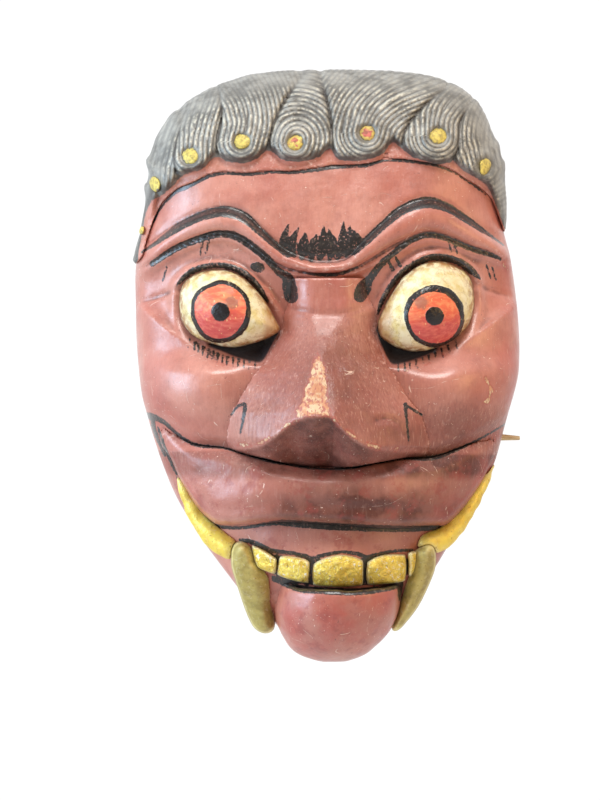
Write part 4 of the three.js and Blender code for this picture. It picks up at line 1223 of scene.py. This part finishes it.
def eye_finish():
    t = Tree("painted_eye")
    iris = t.layer("iris")
    cream = t.mix(t.noise(4, 4, 0.6).ramp(0.4, 0.66), rgb(240, 228, 190), rgb(222, 202, 138))
    corner = (t.layer("inner") + t.wobble(3, 4)).ramp(25, 22)
    cream = t.mix(corner * 0.6, cream, rgb(176, 124, 74))
    edge = t.layer("corner")
    cream = t.mix(edge.ramp(0.8, 1.0) * t.noise(2.5, 3).ramp(0.4, 0.6), cream, rgb(170, 118, 72))
    cream = t.mix(edge.ramp(0.95, 1.02, 0.0, 0.9), cream, rgb(70, 46, 38))
    crack = abs(t.noise(5, 3, 0.6) - 0.5)
    cream = t.mix(crack.ramp(0.02, 0.004) * 0.35, cream, rgb(158, 128, 84))
    wobble = t.wobble(2.2, 0.9)
    rim = iris + wobble
    streak = t.noise(1.6, 4, 0.65, stretch=(4, 1, 1), turn=25)
    low = t.mix(streak.ramp(0.4, 0.68), rgb(202, 76, 72), rgb(224, 112, 96))
    high = t.mix(streak.ramp(0.4, 0.68), rgb(232, 106, 74), rgb(244, 152, 104))
    red = t.mix((t.layer("rise") + t.wobble(4, 8)).ramp(-5, 4), low, high)
    worn = (t.layer("worn") + t.wobble(1.8, 4)).ramp(3.2, 1.6)
    red = t.mix(worn * 0.7, red, rgb(146, 104, 88))
    fleck = t.noise(0.8, 2, 0.5, stretch=(1, 1, 2), turn=-30).ramp(0.69, 0.72)
    red = t.mix(fleck * 0.8, red, rgb(250, 214, 150))
    colour = t.mix(rim.ramp(9.9, 9.6), cream, red)
    within = rim - t.layer("ring")
    ring = within.ramp(-0.2, 0.05) * rim.ramp(11.3, 11.05)
    ring = ring * t.noise(1.2, 3, 0.7).ramp(0.7, 0.62, 0.3, 1.0)
    colour = t.mix(ring, colour, BLACK)
    pupil = (iris + wobble * 1.3).ramp(3.55, 3.2)
    colour = t.mix(pupil, colour, rgb(30, 26, 28))
    dark = ring.most(pupil)
    rough = t.blend(dark, t.noise(3, 3).ramp(0.3, 0.7, 0.32, 0.5), 0.22)
    height = t.noise(1.2, 4, 0.6) * 0.9 + dark * 0.4
    return t.finish(colour, rough, height, 0.25)


def peg_finish():
    t = Tree("straw_coloured_peg")
    grain = t.noise(0.5, 4, 0.7, stretch=(12, 1, 1))
    colour = t.mix(grain.ramp(0.3, 0.7), rgb(232, 214, 176), rgb(190, 164, 118))
    return t.finish(colour, 0.75, grain, 0.2)


RED_WOOD = face_finish()
HAIR_PAINT = hair_finish()
TUSK_GOLD = gold_finish("bright_gold_horn", rgb(246, 218, 92), rgb(228, 192, 78), 0.2, 0.42, 0.4)
FANG_GOLD = gold_finish("matt_gold_horn", rgb(188, 170, 96), rgb(160, 142, 78), 0.2, 0.45, 0.5)
# The teeth get strong painted glints and near-white painted highlights.
TOOTH_GOLD = gold_finish(
    "gold_teeth", rgb(250, 224, 104), rgb(230, 192, 74), 0.3, 0.34, 2.0, painted_glint=1.0, light=rgb(250, 246, 214)
)
FINISHES = {  # what a piece's name starts with, its material, and its slot in the record
    "face_shell": (RED_WOOD, "red_paint"),
    "nose": (RED_WOOD, "red_paint"),
    "upper_lip": (RED_WOOD, "red_paint"),
    "chin": (RED_WOOD, "red_paint"),
    "hair_cap": (HAIR_PAINT, "black_paint"),
    "tusk": (TUSK_GOLD, "gold_paint"),
    "fang": (FANG_GOLD, "gold_paint"),
    "tooth": (TOOTH_GOLD, "gold_paint"),
    "curl_boss": (dot_finish(), "gold_paint"),
    "eye": (eye_finish(), "eye_paint"),
    "cord_peg": (peg_finish(), "bare_wood"),
}
for name, piece in pieces.items():
    material, slot = next(finish for start, finish in FINISHES.items() if name.startswith(start))
    piece.data.materials.append(material)
    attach(piece, "root")
    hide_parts(name)


# --- Stage: floor, lights and camera -----------------------------------------------------------

FLOOR_DROP = 1.5  # metres below the mask's middle, because the picture shows no floor
DISTANCE = 3.5  # metres from the camera to the mask
PICTURE_WIDTH = 0.2973  # metres that the picture is wide at the mask
SENSOR = 36  # millimetres

bpy.ops.mesh.primitive_plane_add(size=12, location=(0, 0, -FLOOR_DROP))
floor = bpy.context.object
floor.name = "floor"
plain = bpy.data.materials.new("plain_floor")
plain.use_nodes = True
plain.node_tree.nodes["Principled BSDF"].inputs["Base Color"].default_value = (0.9, 0.9, 0.9, 1)
plain.node_tree.nodes["Principled BSDF"].inputs["Roughness"].default_value = 0.9
floor.data.materials.append(plain)

# White behind and above the mask, and dimmer and warmer in front of it, so that its relief has shade.
DIM, BRIGHT = (0.24, 0.19, 0.14, 1), (1.05, 1.05, 1.05, 1)
sky = Tree("studio", bpy.data.worlds, "Generated")
to_light = {0: sky.place, 1: (-0.42, 0.7, 0.58)}  # the brightest direction
towards = sky.result("ShaderNodeVectorMath", to_light, "Value", operation="DOT_PRODUCT")
glow = sky.result("ShaderNodeBackground", {"Color": sky.mix(towards.ramp(-0.75, 0.65), DIM, BRIGHT)})
sky.feed(sky.put("ShaderNodeOutputWorld"), {0: glow})
bpy.context.scene.world = sky.owner
bpy.context.scene.view_settings.view_transform = "Standard"


def lamp(name, place, aim, size, power, colour):
    light = bpy.data.lights.new(name, "AREA")
    light.shape = "DISK"
    light.size = size
    light.energy = power
    light.color = colour
    lamp_object = bpy.data.objects.new(name, light)
    lamp_object.location = place
    lamp_object.rotation_euler = (Vector(aim) - Vector(place)).to_track_quat("-Z", "Y").to_euler()
    bpy.context.scene.collection.objects.link(lamp_object)


lamp("key", (0.0, -0.8, 1.25), (0, -0.05, 0), 0.5, 13.5, (1, 0.98, 0.95))
lamp("cool", (-1.25, -0.45, 0.2), (0, -0.05, 0), 0.8, 15.5, (0.56, 0.78, 1))
lamp("warm", (0.9, -0.7, 0.2), (0, -0.05, 0), 0.6, 3.6, (1, 0.62, 0.28))

camera = bpy.data.objects.new("camera", bpy.data.cameras.new("camera"))
bpy.context.scene.collection.objects.link(camera)
bpy.context.scene.camera = camera
aim = Vector((-0.0104, -0.03, -0.0134))
straight_on = Vector((0, 1, 0))
camera.location = aim - straight_on * DISTANCE
camera.rotation_euler = straight_on.to_track_quat("-Z", "Y").to_euler()
camera.data.sensor_width = SENSOR
camera.data.lens = SENSOR * DISTANCE / PICTURE_WIDTH
camera.data.clip_start = 0.1
